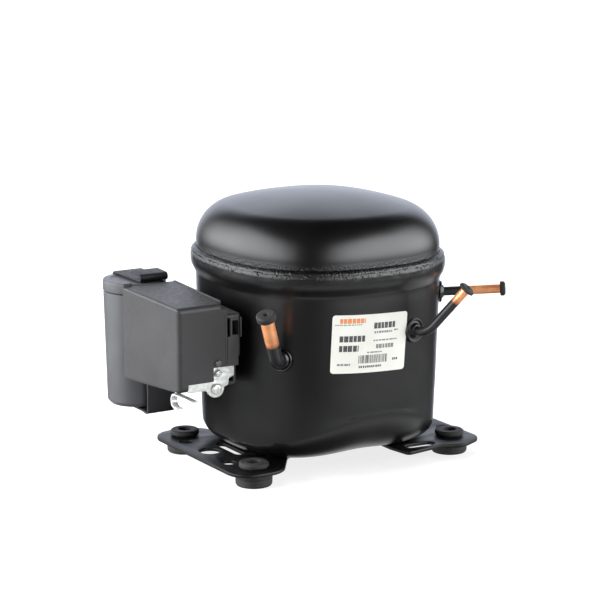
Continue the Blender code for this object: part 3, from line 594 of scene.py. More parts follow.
def ink(name, colour):
    """Thermal print, a little thin in places."""
    look = Look(name)
    patch = look.span(look.noise(1400.0, 2.0), 0.55, 0.75)
    look.colour(look.blend(patch, colour, tuple(0.5 * c + 0.3 for c in colour)))
    look.rough(look.span(look.noise(500.0), 0.3, 0.7, 0.42, 0.55))
    return look.material


PAINT = black_paint("shell_paint")
RIM_PAINT = black_paint("rim_paint", 0.00035)
BEAD_PAINT = black_paint("bead_paint", 0.0002)
FOOT_PAINT = black_paint("foot_paint", 0.0, 0.28, 0.12)
RUBBER = rubber("rubber")
BARE_COPPER = copper("copper")
BOX_PLASTIC = plastic("box_plastic", (0.018, 0.018, 0.019), (0.027, 0.027, 0.028), 0.46, specular=0.35)
CAN_PLASTIC = plastic("can_plastic", (0.035, 0.036, 0.039), (0.050, 0.051, 0.055), 0.40, 0.00004)
STRAP_PLASTIC = plastic("strap_plastic", (0.010, 0.010, 0.012), (0.018, 0.018, 0.021), 0.5, 0.00003, 0.2)
PALE_PLASTIC = plastic("pale_plastic", (0.58, 0.55, 0.46), (0.72, 0.69, 0.60), 0.45)
GASKET = plastic("gasket", (0.05, 0.075, 0.06), (0.10, 0.14, 0.12), 0.8, 0.00012)
ZINC = plated("zinc", (0.55, 0.57, 0.55), (0.72, 0.74, 0.715), 0.38, metallic=0.45)
DARK_SCREW = plated("dark_screw", (0.10, 0.10, 0.10), (0.17, 0.17, 0.17), 0.42, metallic=0.4)
STEEL = plated("steel", (0.36, 0.36, 0.37), (0.55, 0.55, 0.56), 0.33)
ALUMINIUM = plated("aluminium", (0.55, 0.56, 0.58), (0.74, 0.75, 0.77), 0.42, 400.0)
IRON = cast_iron("cast_iron")
LAMINATION = lamination("lamination")
WINDING = winding("winding")
PAPER = paper("label")
BLACK_INK = ink("label_ink", (0.035, 0.035, 0.038))
GREY_INK = ink("label_grey_ink", (0.20, 0.20, 0.20))
ORANGE_INK = ink("label_orange_ink", (0.72, 0.24, 0.07))


# ---- shell
def plan_radius(angle):
    """Distance from the axis to the shell's plan outline, a superellipse."""
    shape = (abs(cos(angle)) / HALF_X) ** PLAN_POWER + (abs(sin(angle)) / HALF_Y) ** PLAN_POWER
    return shape ** (-1 / PLAN_POWER)


def plan_scale(angle):
    return plan_radius(angle) / HALF_Y


def lower_profile(inset=0.0, roundness=0.0):
    """(radius, height) from the rim down the wall to the middle of the bottom, moved inwards.

    The bottom's corner is tight over the foot plates, where roundness is 0, and wide at 1."""
    rim = [(RIM_R - 0.9 - inset, RIM_TOP), (RIM_R - inset, RIM_TOP - 2.2),
           (RIM_R + 0.05 - inset, 145.5), (RIM_R - 0.15 - inset, 142.4), (91.3 - inset, 139.4),
           (89.9 - inset, 136.6), (88.75 - inset, 134.0), (88.5 - inset, 131.5)]
    wall = [(88.4 - inset, 124.0), (87.9 - inset, 110.0), (87.2 - inset, 92.0),
            (86.7 - inset, 76.0), (86.2 - inset, 60.0), (85.6 - inset, 48.0)]
    reach = FLAT_REACH + roundness * (ROUND_REACH - FLAT_REACH)
    rise = FLAT_RISE + roundness * (ROUND_RISE - FLAT_RISE)
    centre = (FOOT_WALL - reach, SHELL_BOTTOM + rise)
    corner = [(centre[0] + (reach - inset) * cos(a), centre[1] - (rise - inset) * sin(a))
              for a in (pi / 2 * i / 12 for i in range(13))]
    floor = [(r, SHELL_BOTTOM + inset) for r in (30.0, 20.0, 10.0, 0.0)]
    return rim + wall + corner + floor


def curve_through(points):
    """Catmull-Rom points through a profile, so that its bends are smooth."""
    extra = 3
    spots = [Vector(p) for p in points]
    made = [spots[0]]
    for i in range(len(spots) - 1):
        before = spots[max(i - 1, 0)]
        after = spots[min(i + 2, len(spots) - 1)]
        a, b = spots[i], spots[i + 1]
        for k in range(1, extra + 1):
            t = k / extra
            made.append(0.5 * (2 * a + (b - before) * t + (2 * before - 5 * a + 4 * b - after) * t * t
                               + (3 * a - before - 3 * b + after) * t ** 3))
    return [(p.x, p.y) for p in made]


def wall_radius(height):
    """The lower shell's outer radius at a height, before the plan is applied."""
    profile = lower_profile()
    for (r1, z1), (r0, z0) in zip(profile, profile[1:]):
        if z0 <= height <= z1:
            return r0 + (r1 - r0) * (height - z0) / (z1 - z0)
    return 0.0


def on_wall(angle, height, out=0.0):
    """A point on the shell's wall, moved outwards along the wall's normal, and that normal."""
    def spot(a):
        r = plan_scale(a) * wall_radius(height)
        return Vector((r * cos(a), r * sin(a), height))
    step = 0.01
    along = (spot(angle + step) - spot(angle - step)).normalized()
    normal = along.cross(Vector((0, 0, 1))).normalized()
    return spot(angle) + normal * out, normal


def add_spatter(obj, low, high, fade):
    """How much weld spatter a point shows: 1 between two heights, fading beyond them."""
    layer = obj.data.attributes.new("spatter", 'FLOAT', 'POINT')
    for vertex, item in zip(obj.data.vertices, layer.data):
        z = vertex.co.z / MM
        item.value = min(1.0, max(0.0, (z - low + fade) / fade), max(0.0, (high + fade - z) / fade))


def make_shell():
    def section(angle):
        roundness = sin(angle) ** 4
        outer = curve_through(lower_profile(0.0, roundness))
        inner = curve_through(lower_profile(SHELL_THICK, roundness))[::-1]
        return outer[:-1] + [(0, SHELL_BOTTOM), (0, SHELL_BOTTOM + SHELL_THICK)] + inner[1:]

    work = lathe(section(0.0), AROUND, plan_scale, closed=True, vary=section)
    rough = noise.noise
    for vert in work.verts:
        x, y, z = vert.co
        if 140.0 < z < RIM_TOP and hypot(x, y) > 83.0:
            bulge = 0.16 * rough(Vector((x, y, z)) * 0.22) + 0.09 * rough(Vector((x, y, z)) * 0.7)
            vert.co.xy *= 1 + bulge / hypot(x, y)
    cuts = []
    for tube in (SUCTION, PROCESS, DISCHARGE):
        start, normal = on_wall(tube["angle"], tube["height"], -12.0)
        cuts.append(rod(tube["tube_r"] + 1.9 + GAP, 24.0, 40, start, facing(normal)))
    cuts.append(rod(TERMINAL_HOLE_R, 24.0, 48, (-68.0, 0, TERMINAL_Z), facing((-1, 0, 0))))
    lower = piece("lower_shell_skin", shaped(work, cuts=cuts), RIM_PAINT,
                  nodes=["lower_shell"])
    add_spatter(lower, 148.0, 151.0, 1.4)


def cover_profile(inset=0.0):
    """(radius, height) of the cover from the middle of its crown down to its foot."""
    reach = COVER_CORNER - inset
    crown_r = (COVER_R - COVER_CORNER + COVER_CORNER * sin(CROWN_TILT)) / sin(CROWN_TILT)
    crown_z = COVER_SHOULDER + COVER_CORNER * cos(CROWN_TILT) - crown_r * cos(CROWN_TILT)
    crown_r -= inset
    crown = [(crown_r * sin(a), crown_z + crown_r * cos(a))
             for a in (CROWN_TILT * i / 14 for i in range(14))]
    shoulder = [(COVER_R - COVER_CORNER + reach * cos(a), COVER_SHOULDER + reach * sin(a))
                for a in ((pi / 2 - CROWN_TILT) * (1 - i / 22) for i in range(23))]
    return crown + shoulder + [(COVER_R - inset, COVER_FOOT + 8.0), (COVER_R - inset, COVER_FOOT)]


def make_cover():
    inner = cover_profile(SHELL_THICK)[::-1]
    work = lathe(cover_profile() + inner, AROUND, plan_scale)
    bmesh.ops.remove_doubles(work, verts=work.verts, dist=0.0001)
    cover = piece("upper_shell_skin", work, RIM_PAINT, nodes=["upper_shell"])
    add_spatter(cover, 149.0, 153.6, 1.6)


def make_bead():
    """The weld's thin crown: overlapping ripples that a gun left, with an uneven edge."""
    steps, pitch = 1500, 2.3
    section = [(88.1, 149.2), (91.0, 149.1), (91.75, 149.7), (91.5, 150.7), (90.7, 151.5),
               (89.9, 152.2), (89.1, 152.7), (88.5, 152.75), (88.05, 152.5)]
    work = lathe(section, steps, plan_scale, closed=True)
    centre = Vector((89.9, 150.7))
    for vert in work.verts:
        angle = atan2(vert.co.y, vert.co.x)
        radius = hypot(vert.co.x, vert.co.y) / plan_scale(angle)
        offset = Vector((radius, vert.co.z)) - centre
        travel = angle * HALF_Y
        drift = 0.9 * noise.noise(Vector((travel * 0.08, 3.0, 0)))
        phase = (travel + 0.35 * abs(offset.y) + drift) / pitch
        scallop = abs(sin(pi * phase)) ** 0.6 - 0.6
        lumps = noise.noise(Vector((travel * 0.25, offset.x * 0.6, offset.y * 0.6)))
        grow = 1 + 0.10 * scallop + 0.16 * lumps
        if offset.x > -1.4 and offset.y > -1.2:
            spot = centre + offset * grow
            scale = plan_scale(angle)
            vert.co = Vector((spot.x * scale * cos(angle), spot.x * scale * sin(angle), spot.y))
    bead = piece("weld_bead_ripples", work, BEAD_PAINT, nodes=["weld_bead"], sharp=60)
    add_spatter(bead, 140.0, 160.0, 1.0)


# ---- feet
def make_feet():
    left = rounded([(-103.5, -68, 18), (-68, -68, 21), (-46, -36, 8), (-30, -36, 5),
                    (-30, 36, 5), (-46, 36, 8), (-68, 68, 17), (-103.5, 68, 18)], 14)
    right = rounded([(99.5, 68, 15), (68, 68, 17), (46, 36, 8), (30, 36, 5), (28, -54, 4),
                     (31, -75, 4), (60, -70, 10), (79, -77, 9), (99.5, -67, 14)], 14)
    for name, side, outline in (("left", -1, left), ("right", 1, right)):
        holes = [circle(side * FOOT_X, y, FOOT_HOLE_R) for y in (-FOOT_Y, FOOT_Y)]
        holes += [circle(side * 88.0, 2.8, 7.6), slot(side * 73.0, -13, side * 73.0, 13, 3.4)]
        holes += [circle(side * 91.0, y, 5.0) for y in (-30.0, 33.0)]
        if side > 0:
            holes.append(slot(42, -61, 57, -62, 4.5))
        work = plate([outline] + holes, PLATE_THICK, PLATE_EDGE)
        piece("foot_plate_" + name, work, FOOT_PAINT, nodes=["base_bracket_" + name],
              at=(0, 0, PLATE_BOTTOM + PLATE_THICK / 2))
    neck = FOOT_HOLE_R - GAP
    top = PLATE_BOTTOM + PLATE_THICK + GAP
    section = [(4.8, 16.6, 0.6), (9.5, 16.6, 0.8), (10.5, 15.7, 0.5), (10.5, 13.6, 0.7),
               (9.6, top, 0.2), (neck, top, 0.2), (neck, 9.15, 0.2), (12.6, 9.15, 0.5),
               (13.2, 8.3, 0.4), (13.15, 6.5, 0.25), (12.7, 6.15, 0.2), (12.7, 5.75, 0.2),
               (13.1, 5.4, 0.25), (12.9, 1.2, 0.6), (12.2, 0.0, 0.5), (9.6, 0.0, 0.3),
               (9.2, 0.6, 0.2), (6.6, 0.6, 0.2), (6.2, 0.0, 0.3), (4.8, 0.0, 0.3)]
    corners = [(-1, -1), (1, -1), (-1, 1), (1, 1)]
    for number, (sx, sy) in enumerate(corners, 1):
        work = rounded_lathe(section, 72)
        piece("foot_grommet_" + str(number), work, RUBBER,
              nodes=["grommet_" + str(number)], at=(sx * FOOT_X, sy * FOOT_Y, 0))


# ---- stub tubes
def make_tube(name, tube, corners, bend):
    """A collar brazed into the wall, a bent copper tube, and the rubber plug on its end."""
    root, normal = on_wall(tube["angle"], tube["height"])
    radius = tube["tube_r"]
    start = root - normal * START_INSIDE
    path = bent([start] + corners, bend, 16)
    dense = []
    for a, b in zip(path, path[1:]):
        count = max(1, int((b - a).length / 1.5))
        dense += [a.lerp(b, k / count) for k in range(count)]
    look = copper(name + "_copper", tube["paint"])
    piece(name + "_stub", sweep(dense + [path[-1]], radius, TUBE_WALL), look,
          nodes=[name + "_tube"])
    hub, ring = radius + 1.9, tube["collar_r"]
    bore = radius + 0.05
    section = [(bore, 3.4, 0.3), (radius + 0.9, 3.2, 0.5), (hub, 1.9, 0.7), (hub + 0.5, 0.9, 0.5),
               (ring - 1.9, 0.75, 0.4), (ring - 1.3, 1.75, 0.5), (ring - 0.4, 1.75, 0.4),
               (ring, 0.7, 0.3), (ring, 0.05, 0.1), (hub, 0.05, 0.1), (hub, -4.5, 0.2),
               (bore, -4.5, 0.1)]
    piece(name + "_collar_ring", rounded_lathe(section, 64), PAINT,
          nodes=[name + "_collar"], at=root, turn=facing(normal))
    end = path[-1]
    outward = (end - path[-2]).normalized()
    spigot = radius - TUBE_WALL - GAP
    disc, height = tube["plug_r"], tube["plug_height"]
    plug = [(0, height * 0.45, 0), (1.1, height * 0.45, 0.2), (1.5, height * 0.85, 0.3),
            (2.1, height, 0.3), (disc - 1.2, height, 0.3), (disc, height - 0.9, 0.5),
            (disc, GAP + 0.3, 0.2), (disc - 0.6, GAP, 0.2), (spigot, GAP, 0.1),
            (spigot, -5.2, 0.4), (spigot - 0.6, -6.0, 0.1), (0, -6.0, 0)]
    piece(name + "_plug_cap", rounded_lathe(plug, 56, closed=False), RUBBER,
          body=name + "_plug_body", nodes=[name + "_plug"], at=end, turn=facing(outward))


def make_tubes():
    root, normal = on_wall(SUCTION["angle"], SUCTION["height"])
    lean = radians(26)
    knee = root + normal * 7.6
    tip = knee + (normal * sin(lean) + Vector((0, 0, cos(lean)))) * 36.5
    make_tube("suction", SUCTION, [knee, tip], 9.0)
    root, normal = on_wall(PROCESS["angle"], PROCESS["height"])
    make_tube("process", PROCESS, [root + normal * 12.6, Vector((50.0, -115.2, 135.2))], 15.0)
    root, normal = on_wall(DISCHARGE["angle"], DISCHARGE["height"])
    rise = (normal + Vector((0, 0, 0.049))).normalized()
    make_tube("discharge", DISCHARGE, [root + normal * 3.0, root + normal * 3.0 + rise * 40.5], 20.0)


# ---- rating label
LABEL_ANGLE, LABEL_Z, LABEL_TILT = radians(-96.2), 99.6, radians(-2.4)
LABEL_W, LABEL_H, LABEL_CORNER = 59.0, 41.5, 2.2
LABEL_OUT, LABEL_THICK, INK_THICK = 0.38, 0.22, 0.03
INK_OUT = LABEL_OUT + LABEL_THICK + 0.02

# Lines of print: left and right end, foot, height, and the shortest and longest block
DARK_PRINT = ((-24.0, -4.8, 1.6, 4.3, 2.2, 3.2), (-24.0, -9.8, -5.3, 4.3, 2.2, 3.2),
              (1.5, 19.0, 10.3, 4.2, 2.2, 3.2), (-9.0, 9.5, -17.2, 1.5, 0.8, 1.2),
              (18.4, 23.4, -13.2, 1.7, 0.9, 1.3))
GREY_PRINT = ((2.0, 16.8, 6.9, 1.6, 1.0, 2.2), (18.3, 21.8, 7.9, 1.1, 1.2, 4.0),
              (1.5, 21.5, 1.4, 1.0, 1.4, 3.0), (-3.0, 9.0, -6.9, 1.0, 1.2, 4.0),
              (-27.6, -8.0, 13.4, 0.7, 1.0, 2.4), (4.0, 18.5, -3.9, 3.0, 1.4, 2.6),
              (-25.0, -15.5, -15.2, 1.4, 2.0, 4.0))
ORANGE_PRINT = ((-24.2, -5.5, 14.8, 3.4, 2.0, 3.0),)


def on_label(u, v, out):
    """A point of the label from its own flat coordinates, in millimetres from its middle."""
    x, y = u * cos(LABEL_TILT) - v * sin(LABEL_TILT), u * sin(LABEL_TILT) + v * cos(LABEL_TILT)
    return on_wall(LABEL_ANGLE + x / plan_radius(LABEL_ANGLE), LABEL_Z + y, out)[0]


def wrapped(out, thick, spans):
    """A thin sheet on the wall: columns of (u, low v, high v), with its front, back and sides."""
    work = bmesh.new()
    rows = 6
    skins = []
    for depth in (out + thick, out):
        skins.append([[work.verts.new(on_label(u, low + (high - low) * k / rows, depth))
                       for k in range(rows + 1)] for u, low, high in spans])
    front, back = skins
    for a in range(len(spans) - 1):
        for k in range(rows):
            work.faces.new((front[a][k], front[a + 1][k], front[a + 1][k + 1], front[a][k + 1]))
            work.faces.new((back[a][k + 1], back[a + 1][k + 1], back[a + 1][k], back[a][k]))
        for k in (0, rows):
            work.faces.new((front[a][k], back[a][k], back[a + 1][k], front[a + 1][k]))
    for a in (0, -1):
        for k in range(rows):
            work.faces.new((front[a][k], front[a][k + 1], back[a][k + 1], back[a][k]))
    bmesh.ops.recalc_face_normals(work, faces=work.faces)
    return work


def bar(u0, u1, v0, v1):
    """One printed bar, from its corners on the label."""
    columns = max(2, int((u1 - u0) / 2.0) + 1)
    spans = [(u0 + (u1 - u0) * i / (columns - 1), v0, v1) for i in range(columns)]
    return wrapped(INK_OUT, INK_THICK, spans)


def text_lines(rows, rng):
    """Rows of small blocks that stand for lines of print."""
    blocks = []
    for u, end, foot, height, shortest, longest in rows:
        while u < end - 0.5:
            width = min(rng.uniform(shortest, longest), end - u)
            blocks.append(bar(u, u + width, foot, foot + height))
            u += width + rng.uniform(0.35, 0.7)
    return blocks


def bar_code(u, end, foot, top, rng):
    bars = []
    while u < end:
        width = rng.choice((0.25, 0.45, 0.8))
        bars.append(bar(u, u + width, foot, top))
        u += width + rng.choice((0.25, 0.45, 0.7))
    return bars


def make_label():
    half_w, half_h, corner = LABEL_W / 2, LABEL_H / 2, LABEL_CORNER
    columns = [-half_w + corner * (1 - cos(pi / 2 * i / 5)) for i in range(6)]
    inner = [-half_w + corner + (LABEL_W - 2 * corner) * i / 24 for i in range(1, 24)]
    spans = []
    for u in columns + inner + [-u for u in columns[::-1]]:
        over = max(0.0, abs(u) - (half_w - corner))
        drop = corner - (max(0.0, corner ** 2 - over ** 2)) ** 0.5
        spans.append((u, -half_h + drop, half_h - drop))
    piece("label_sheet", wrapped(LABEL_OUT, LABEL_THICK, spans), PAPER,
          nodes=["rating_label"], sharp=60)
    rng = random.Random(11)
    dark = text_lines(DARK_PRINT, rng) + bar_code(-9.5, 14.0, -14.0, -8.2, rng)
    for tone, blocks, look in (("dark", dark, BLACK_INK),
                               ("grey", text_lines(GREY_PRINT, rng), GREY_INK),
                               ("orange", text_lines(ORANGE_PRINT, rng), ORANGE_INK)):
        piece("label_print_" + tone, joined(*blocks), look, sharp=60)


# ---- electrical box
def box_z(y, top):
    """Height of the box's top or bottom at a depth: the box is taller at its rear."""
    share = (y - BOX_FRONT) / (BOX_REAR - BOX_FRONT)
    return BOX_FRONT_Z[top] + share * (BOX_REAR_Z[top] - BOX_FRONT_Z[top])


def box_form(outer, inner, open_sides, edges, long_edge, lower, grow):
    """A tapered block with rounded edges, left sharp around its open X sides.

    outer and inner are the X of its two sides, each at the front and at the rear, and edges are
    the roundings of the front and of the rear."""
    work = bmesh.new()
    bmesh.ops.create_cube(work, size=1.0)
    for vertex in work.verts:
        rear, top = vertex.co.y > 0, vertex.co.z > 0
        x = (outer if vertex.co.x < 0 else inner)[rear]
        y = (BOX_REAR + grow) if rear else (BOX_FRONT - grow)
        vertex.co = Vector((x, y, box_z(y, top) + (grow - lower if top else -grow)))
    work.normal_update()
    open_faces = {f for f in work.faces if any(f.normal.x * side > 0.9 for side in open_sides)}
    weight = work.edges.layers.float.new("bevel_weight_edge")
    widest = max(edges)
    for edge in work.edges:
        ends = [v.co.y > 0 for v in edge.verts]
        width = edges[ends[0]] if ends[0] == ends[1] else long_edge
        edge[weight] = 0.0 if open_faces & set(edge.link_faces) else min(1.0, width / widest)
    bevel = {"width": widest, "segments": 7, "limit_method": 'WEIGHT', "harden_normals": False}
    return shaped(work, ('BEVEL', bevel))


def box_skin(outer, inner, open_sides, edges, wall, lower=0.0, grow=0.0):
    """A box form made hollow through its open X sides, leaving a wall."""
    past = 1.0
    tight = [max(0.4, edge - wall) for edge in (*edges, LONG_EDGE)]
    out_shift = -past if -1 in open_sides else wall
    in_shift = past if 1 in open_sides else -wall
    hollow = box_form([x + out_shift for x in outer], [x + in_shift for x in inner], open_sides,
                      tight[:2], tight[2], lower, grow - wall)
    return shaped(box_form(outer, inner, open_sides, edges, LONG_EDGE, lower, grow), cuts=[hollow])


def block_cut(x0, x1, z0, z1, depth=15.0, y=BOX_FRONT + 1.0):
    return box((x1 - x0, depth, z1 - z0), ((x0 + x1) / 2, y, (z0 + z1) / 2))


def cover_cuts():
    """The two steps cut out of the box's lower front corner, and the one at the upper corner."""
    return [block_cut(-126.0, -80.0, 40.0, 73.8), block_cut(-106.2, -80.0, 40.0, 83.6),
            block_cut(-100.1, -80.0, 124.0, 140.0)]


def make_box():
    soft = ('BEVEL', {"width": 0.35, "segments": 2, **ROUND})
    screw_hole = rod(1.6, 8.0, 20, (COVER_SCREW[0], -33.0, COVER_SCREW[1]), facing((0, -1, 0)))
    split = (BOX_SPLIT, BOX_SPLIT)
    cover = box_skin((BOX_OUT_FRONT, BOX_OUT_REAR), split, (1,), (3.6, 1.2), BOX_WALL)
    cover = shaped(cover, cuts=cover_cuts() + [screw_hole])
    piece("box_cover_skin", shaped(cover, soft), BOX_PLASTIC, "box_cover",
          ["terminal_box_cover"], flat=True)
    lip = box_skin((BOX_SPLIT - 1.6, BOX_SPLIT - 1.6), split, (-1, 1), (3.9, 1.5), 0.8, grow=0.4)
    piece("box_cover_lip", shaped(shaped(lip, cuts=cover_cuts()), soft), BOX_PLASTIC,
          "box_cover", flat=True)
    front, back = BOX_SPLIT + GAP, BOX_BACK
    cuts = [box((20.0, 46.0, 42.0), (BOX_BACK, 0, TERMINAL_Z)), block_cut(-100.0, -80.0, 40.0, 83.6),
            block_cut(-86.7, -80.0, 40.0, 90.3), block_cut(-91.4, -86.5, 105.4, 115.7, 8.0, BOX_FRONT),
            block_cut(-96.5, -92.8, 104.3, 117.5, 8.0, BOX_FRONT)]
    base = shaped(box_skin((front, front), (back, back), (-1,), (2.5, 2.5), BOX_WALL, lower=7.6),
                  cuts=cuts)
    piece("box_base_skin", shaped(base, soft), BOX_PLASTIC, nodes=["terminal_box_base"],
          flat=True)
    small = (("latch_rib", (0.9, 1.6, 14.0), (0.3, 2), (-85.0, BOX_FRONT - 0.5, 110.6), "shell"),
             ("hinge_tab", (7.0, 9.0, 2.6), (0.7, 3), (-90.5, 27.0, 125.0), "shell"),
             ("rear_ear", (7.0, 1.5, 12.0), (0.4, 2), (BOX_OUT_REAR + 3.6, BOX_REAR - 0.8, 127.0),
              "box_cover"))
    for name, size, (width, segments), at, body in small:
        work = shaped(box(size), ('BEVEL', {"width": width, "segments": segments, **ROUND}))
        piece("box_" + name, work, BOX_PLASTIC, body, at=at)


def cross_head(head_r, shank_r, length):
    """A pan-head screw on local Z with a cross recess and a few threads."""
    section = [(0, 2.4, 0), (head_r * 0.45, 2.35, 0.5), (head_r * 0.82, 1.9, 0.6),
               (head_r, 0.9, 0.4), (head_r, 0.0, 0.1), (shank_r, 0.0, 0.1)]
    turns = int(length / 0.8)
    for i in range(turns):
        section += [(shank_r, -0.8 * i - 0.3, 0.05), (shank_r * 0.8, -0.8 * i - 0.7, 0.05)]
    section += [(shank_r * 0.8, -length, 0.05), (0, -length, 0)]
    cuts = [box(size, (0, 0, 2.3)) for size in ((head_r * 1.15, 0.75, 1.7), (0.75, head_r * 1.15, 1.7))]
    return shaped(rounded_lathe(section, 40, closed=False, arc=2), cuts=cuts)


def make_clamp():
    """The zinc cord clamp at the box's lower front corner, its strap and screws."""
    outline = rounded([(-125.4, 67.4, 1), (-109.6, 67.4, 3), (-109.3, 61.8, 6), (-96.9, 61.8, 6),
                       (-96.9, 68.6, 1), (-93.6, 69.7, 1), (-92.9, 74.4, 1), (-88.8, 75.9, 1),
                       (-88.8, 90.0, 1), (-107.5, 90.0, 1), (-107.5, 73.6, 1.5), (-125.4, 73.6, 1)])
    holes = [circle(x, z, radius, 32) for (x, z), radius in
             ((CLAMP_SCREW, 2.4), (PLATE_SCREW, 1.6), (COVER_SCREW, 1.6))]
    out = facing((0, -1, 0))
    piece("clamp_plate_zinc", plate([outline] + holes, 1.2, 0.25), ZINC,
          nodes=["cord_clamp_plate"], at=(0, CLAMP_Y, 0), turn=out)
    face = CLAMP_Y - 0.6 - GAP
    screws = (("clamp_screw", "_zinc", (3.9, 2.0, 5.0), CLAMP_SCREW, face, ZINC, "shell"),
              ("plate_screw", "_zinc", (2.6, 1.25, 6.0), PLATE_SCREW, face, ZINC, "shell"),
              ("cover_screw", "_dark", (2.4, 1.2, 5.0), COVER_SCREW, BOX_FRONT - GAP, DARK_SCREW,
               "box_cover"))
    for node, tail, sizes, (x, z), y, look, body in screws:
        piece(node + tail, cross_head(*sizes), look, body, [node], at=(x, y, z), turn=out)
    path = bent([(-34.8, 60.6), (-4.0, 60.6), (-4.0, 51.0), (-12.5, 51.0)], 4.5)
    piece("clamp_strap_zinc", strip(path, 1.2, 5.0, 0.3), ZINC,
          nodes=["cord_clamp_strap"], at=(-120.0, 0, 0), turn=SIDEWAYS)


def strip(path, thickness, width, edge):
    """A bent sheet strip: a path in local XY with thickness, extruded by its width along Z."""
    left, right = [], []
    for i, spot in enumerate(path):
        along = (path[min(i + 1, len(path) - 1)] - path[max(i - 1, 0)]).normalized()
        across = Vector((-along.y, along.x)) * (thickness / 2)
        left.append(spot + across)
        right.append(spot - across)
    return plate([left + right[::-1]], width, edge)


# ---- start capacitor
def make_capacitor():
    seat = CAN_LID - GAP
    can = [(0, seat, 0), (CAN_R - 0.7, seat, 0.2), (CAN_R, seat - 0.6, 0.3),
           (CAN_FOOT_R, CAN_BOTTOM + 2.8, 2.0), (CAN_FOOT_R - 2.6, CAN_BOTTOM, 1.6),
           (CAN_FOOT_R - 5.0, CAN_BOTTOM, 0.4), (CAN_FOOT_R - 5.8, CAN_BOTTOM + 1.0, 0.4),
           (0, CAN_BOTTOM + 1.0, 0)]
    piece("capacitor_can", rounded_lathe(can, 96, closed=False, arc=6), CAN_PLASTIC,
          nodes=["start_capacitor"], at=(CAN_X, CAN_Y, 0))
    lid = [(0, CAN_TOP - 0.5, 0), (CAN_R - 6.0, CAN_TOP - 0.5, 0.5), (CAN_R - 4.6, CAN_TOP, 0.5),
           (CAN_R + 0.3, CAN_TOP, 1.0), (CAN_R + 0.3, CAN_LID + 0.7, 0.3), (CAN_R - 0.5, CAN_LID, 0.2),
           (0, CAN_LID, 0)]
    piece("capacitor_cap", rounded_lathe(lid, 96, closed=False, arc=6), CAN_PLASTIC,
          nodes=["capacitor_lid"], at=(CAN_X, CAN_Y, 0))
    rear, top = CAN_Y + CAN_R + 1.4, CAN_TOP + GAP + STRAP_THICK / 2
    low = CAN_BOTTOM - GAP - STRAP_THICK / 2 - 0.8
    curl_r, curl_y = 2.1, 46.0
    path = bent([(35.8, 62.5), (35.8, low - 1.0), (46.0, low), (rear, low), (rear, top), (curl_y, top)],
                3.0)
    curl = [Vector((curl_y - curl_r * sin(a), top + curl_r - curl_r * cos(a))) for a in
            (radians(12 + 12 * i) for i in range(15))]
    curl.append(Vector((curl_y + 13.0, top + 2 * curl_r + 0.5)))
    piece("capacitor_band", strip(path + curl, STRAP_THICK, STRAP_X1 - STRAP_X0, 0.35), STRAP_PLASTIC,
          nodes=["capacitor_strap"], at=((STRAP_X0 + STRAP_X1) / 2, 0, 0),
          turn=SIDEWAYS)


# ---- carried-over CAD nodes
KEPT = {
    "terminal_fence": PAINT, "hermetic_terminal": STEEL, "start_relay": PALE_PLASTIC,
    "overload_protector": BOX_PLASTIC, "stator_core": LAMINATION, "stator_winding_lower": WINDING,
    "stator_winding_upper": WINDING, "rotor": ALUMINIUM, "crankshaft": STEEL, "oil_pickup": STEEL,
    "oil_gallery_plug": STEEL, "slide_block": STEEL, "piston": ALUMINIUM, "cylinder_block": IRON,
    "suction_reed": STEEL, "valve_plate": STEEL, "discharge_reed": STEEL, "head_gasket": GASKET,
    "cylinder_head": ALUMINIUM, "suction_muffler": PALE_PLASTIC, "discharge_line": BARE_COPPER,
    **{"head_bolt_" + str(i): STEEL for i in range(1, 5)},
}


def make_springs():
    """Suspension springs between the shell and the pump, swept as wire coils in the CAD springs' place
    and left on no body.
    """
    turns, per_turn, wire_r = 4, 24, 1.0
    for number in range(1, 5):
        name = "suspension_spring_" + str(number)
        low, high = (Vector(corner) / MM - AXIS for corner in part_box(name))
        middle, coil_r = (low + high) / 2, (high.x - low.x) / 2 - wire_r
        count = turns * per_turn
        rise = high.z - low.z - 2 * wire_r
        coil = [Vector((*around(middle.x, middle.y, coil_r, tau * i / per_turn),
                        low.z + wire_r + rise * i / count)) for i in range(count + 1)]
        spring = piece("suspension_coil_" + str(number), sweep(coil, wire_r, sides=12), STEEL,
                       body=None, nodes=[name])
        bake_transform(spring)


def dress_kept_nodes():
    for name, look in KEPT.items():
        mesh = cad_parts[name].data
        mesh.materials.clear()
        mesh.materials.append(look)


# ---- studio
def make_camera():
    aim = (AXIS + Vector((0, 0, AIM_HEIGHT))) * MM
    back = Vector((sin(VIEW_AZIMUTH) * cos(VIEW_ELEVATION), -cos(VIEW_AZIMUTH) * cos(VIEW_ELEVATION),
                   sin(VIEW_ELEVATION)))
    data = bpy.data.cameras.new("camera")
    data.lens = LENS
    data.sensor_width = 36.0
    data.shift_x, data.shift_y = SHIFT_X, SHIFT_Y
    camera = added("camera", data)
    camera.location = aim + back * VIEW_DISTANCE
    camera.rotation_mode = 'QUATERNION'
    camera.rotation_quaternion = (-back).to_track_quat('-Z', 'Y')
    bpy.context.scene.camera = camera


def softbox(name, direction, distance, size, radiance):
    """A soft rectangular light that faces the object; its reflection is a glow of the world."""
    data = bpy.data.lights.new(name, 'AREA')
    data.shape = 'RECTANGLE'
    data.size, data.size_y = size
    data.energy = radiance * pi * size[0] * size[1]
    light = added(name, data)
    light.location = AXIS * MM + Vector((0, 0, 0.1)) + direction.normalized() * distance
    light.rotation_mode = 'QUATERNION'
    light.rotation_quaternion = direction.normalized().to_track_quat('Z', 'Y')
    light.visible_glossy = False


def view_axes():
    """Directions away from the camera, to its right and up, level with the floor."""
    return (Vector((-sin(VIEW_AZIMUTH), cos(VIEW_AZIMUTH), 0)),
            Vector((cos(VIEW_AZIMUTH), sin(VIEW_AZIMUTH), 0)), Vector((0, 0, 1)))


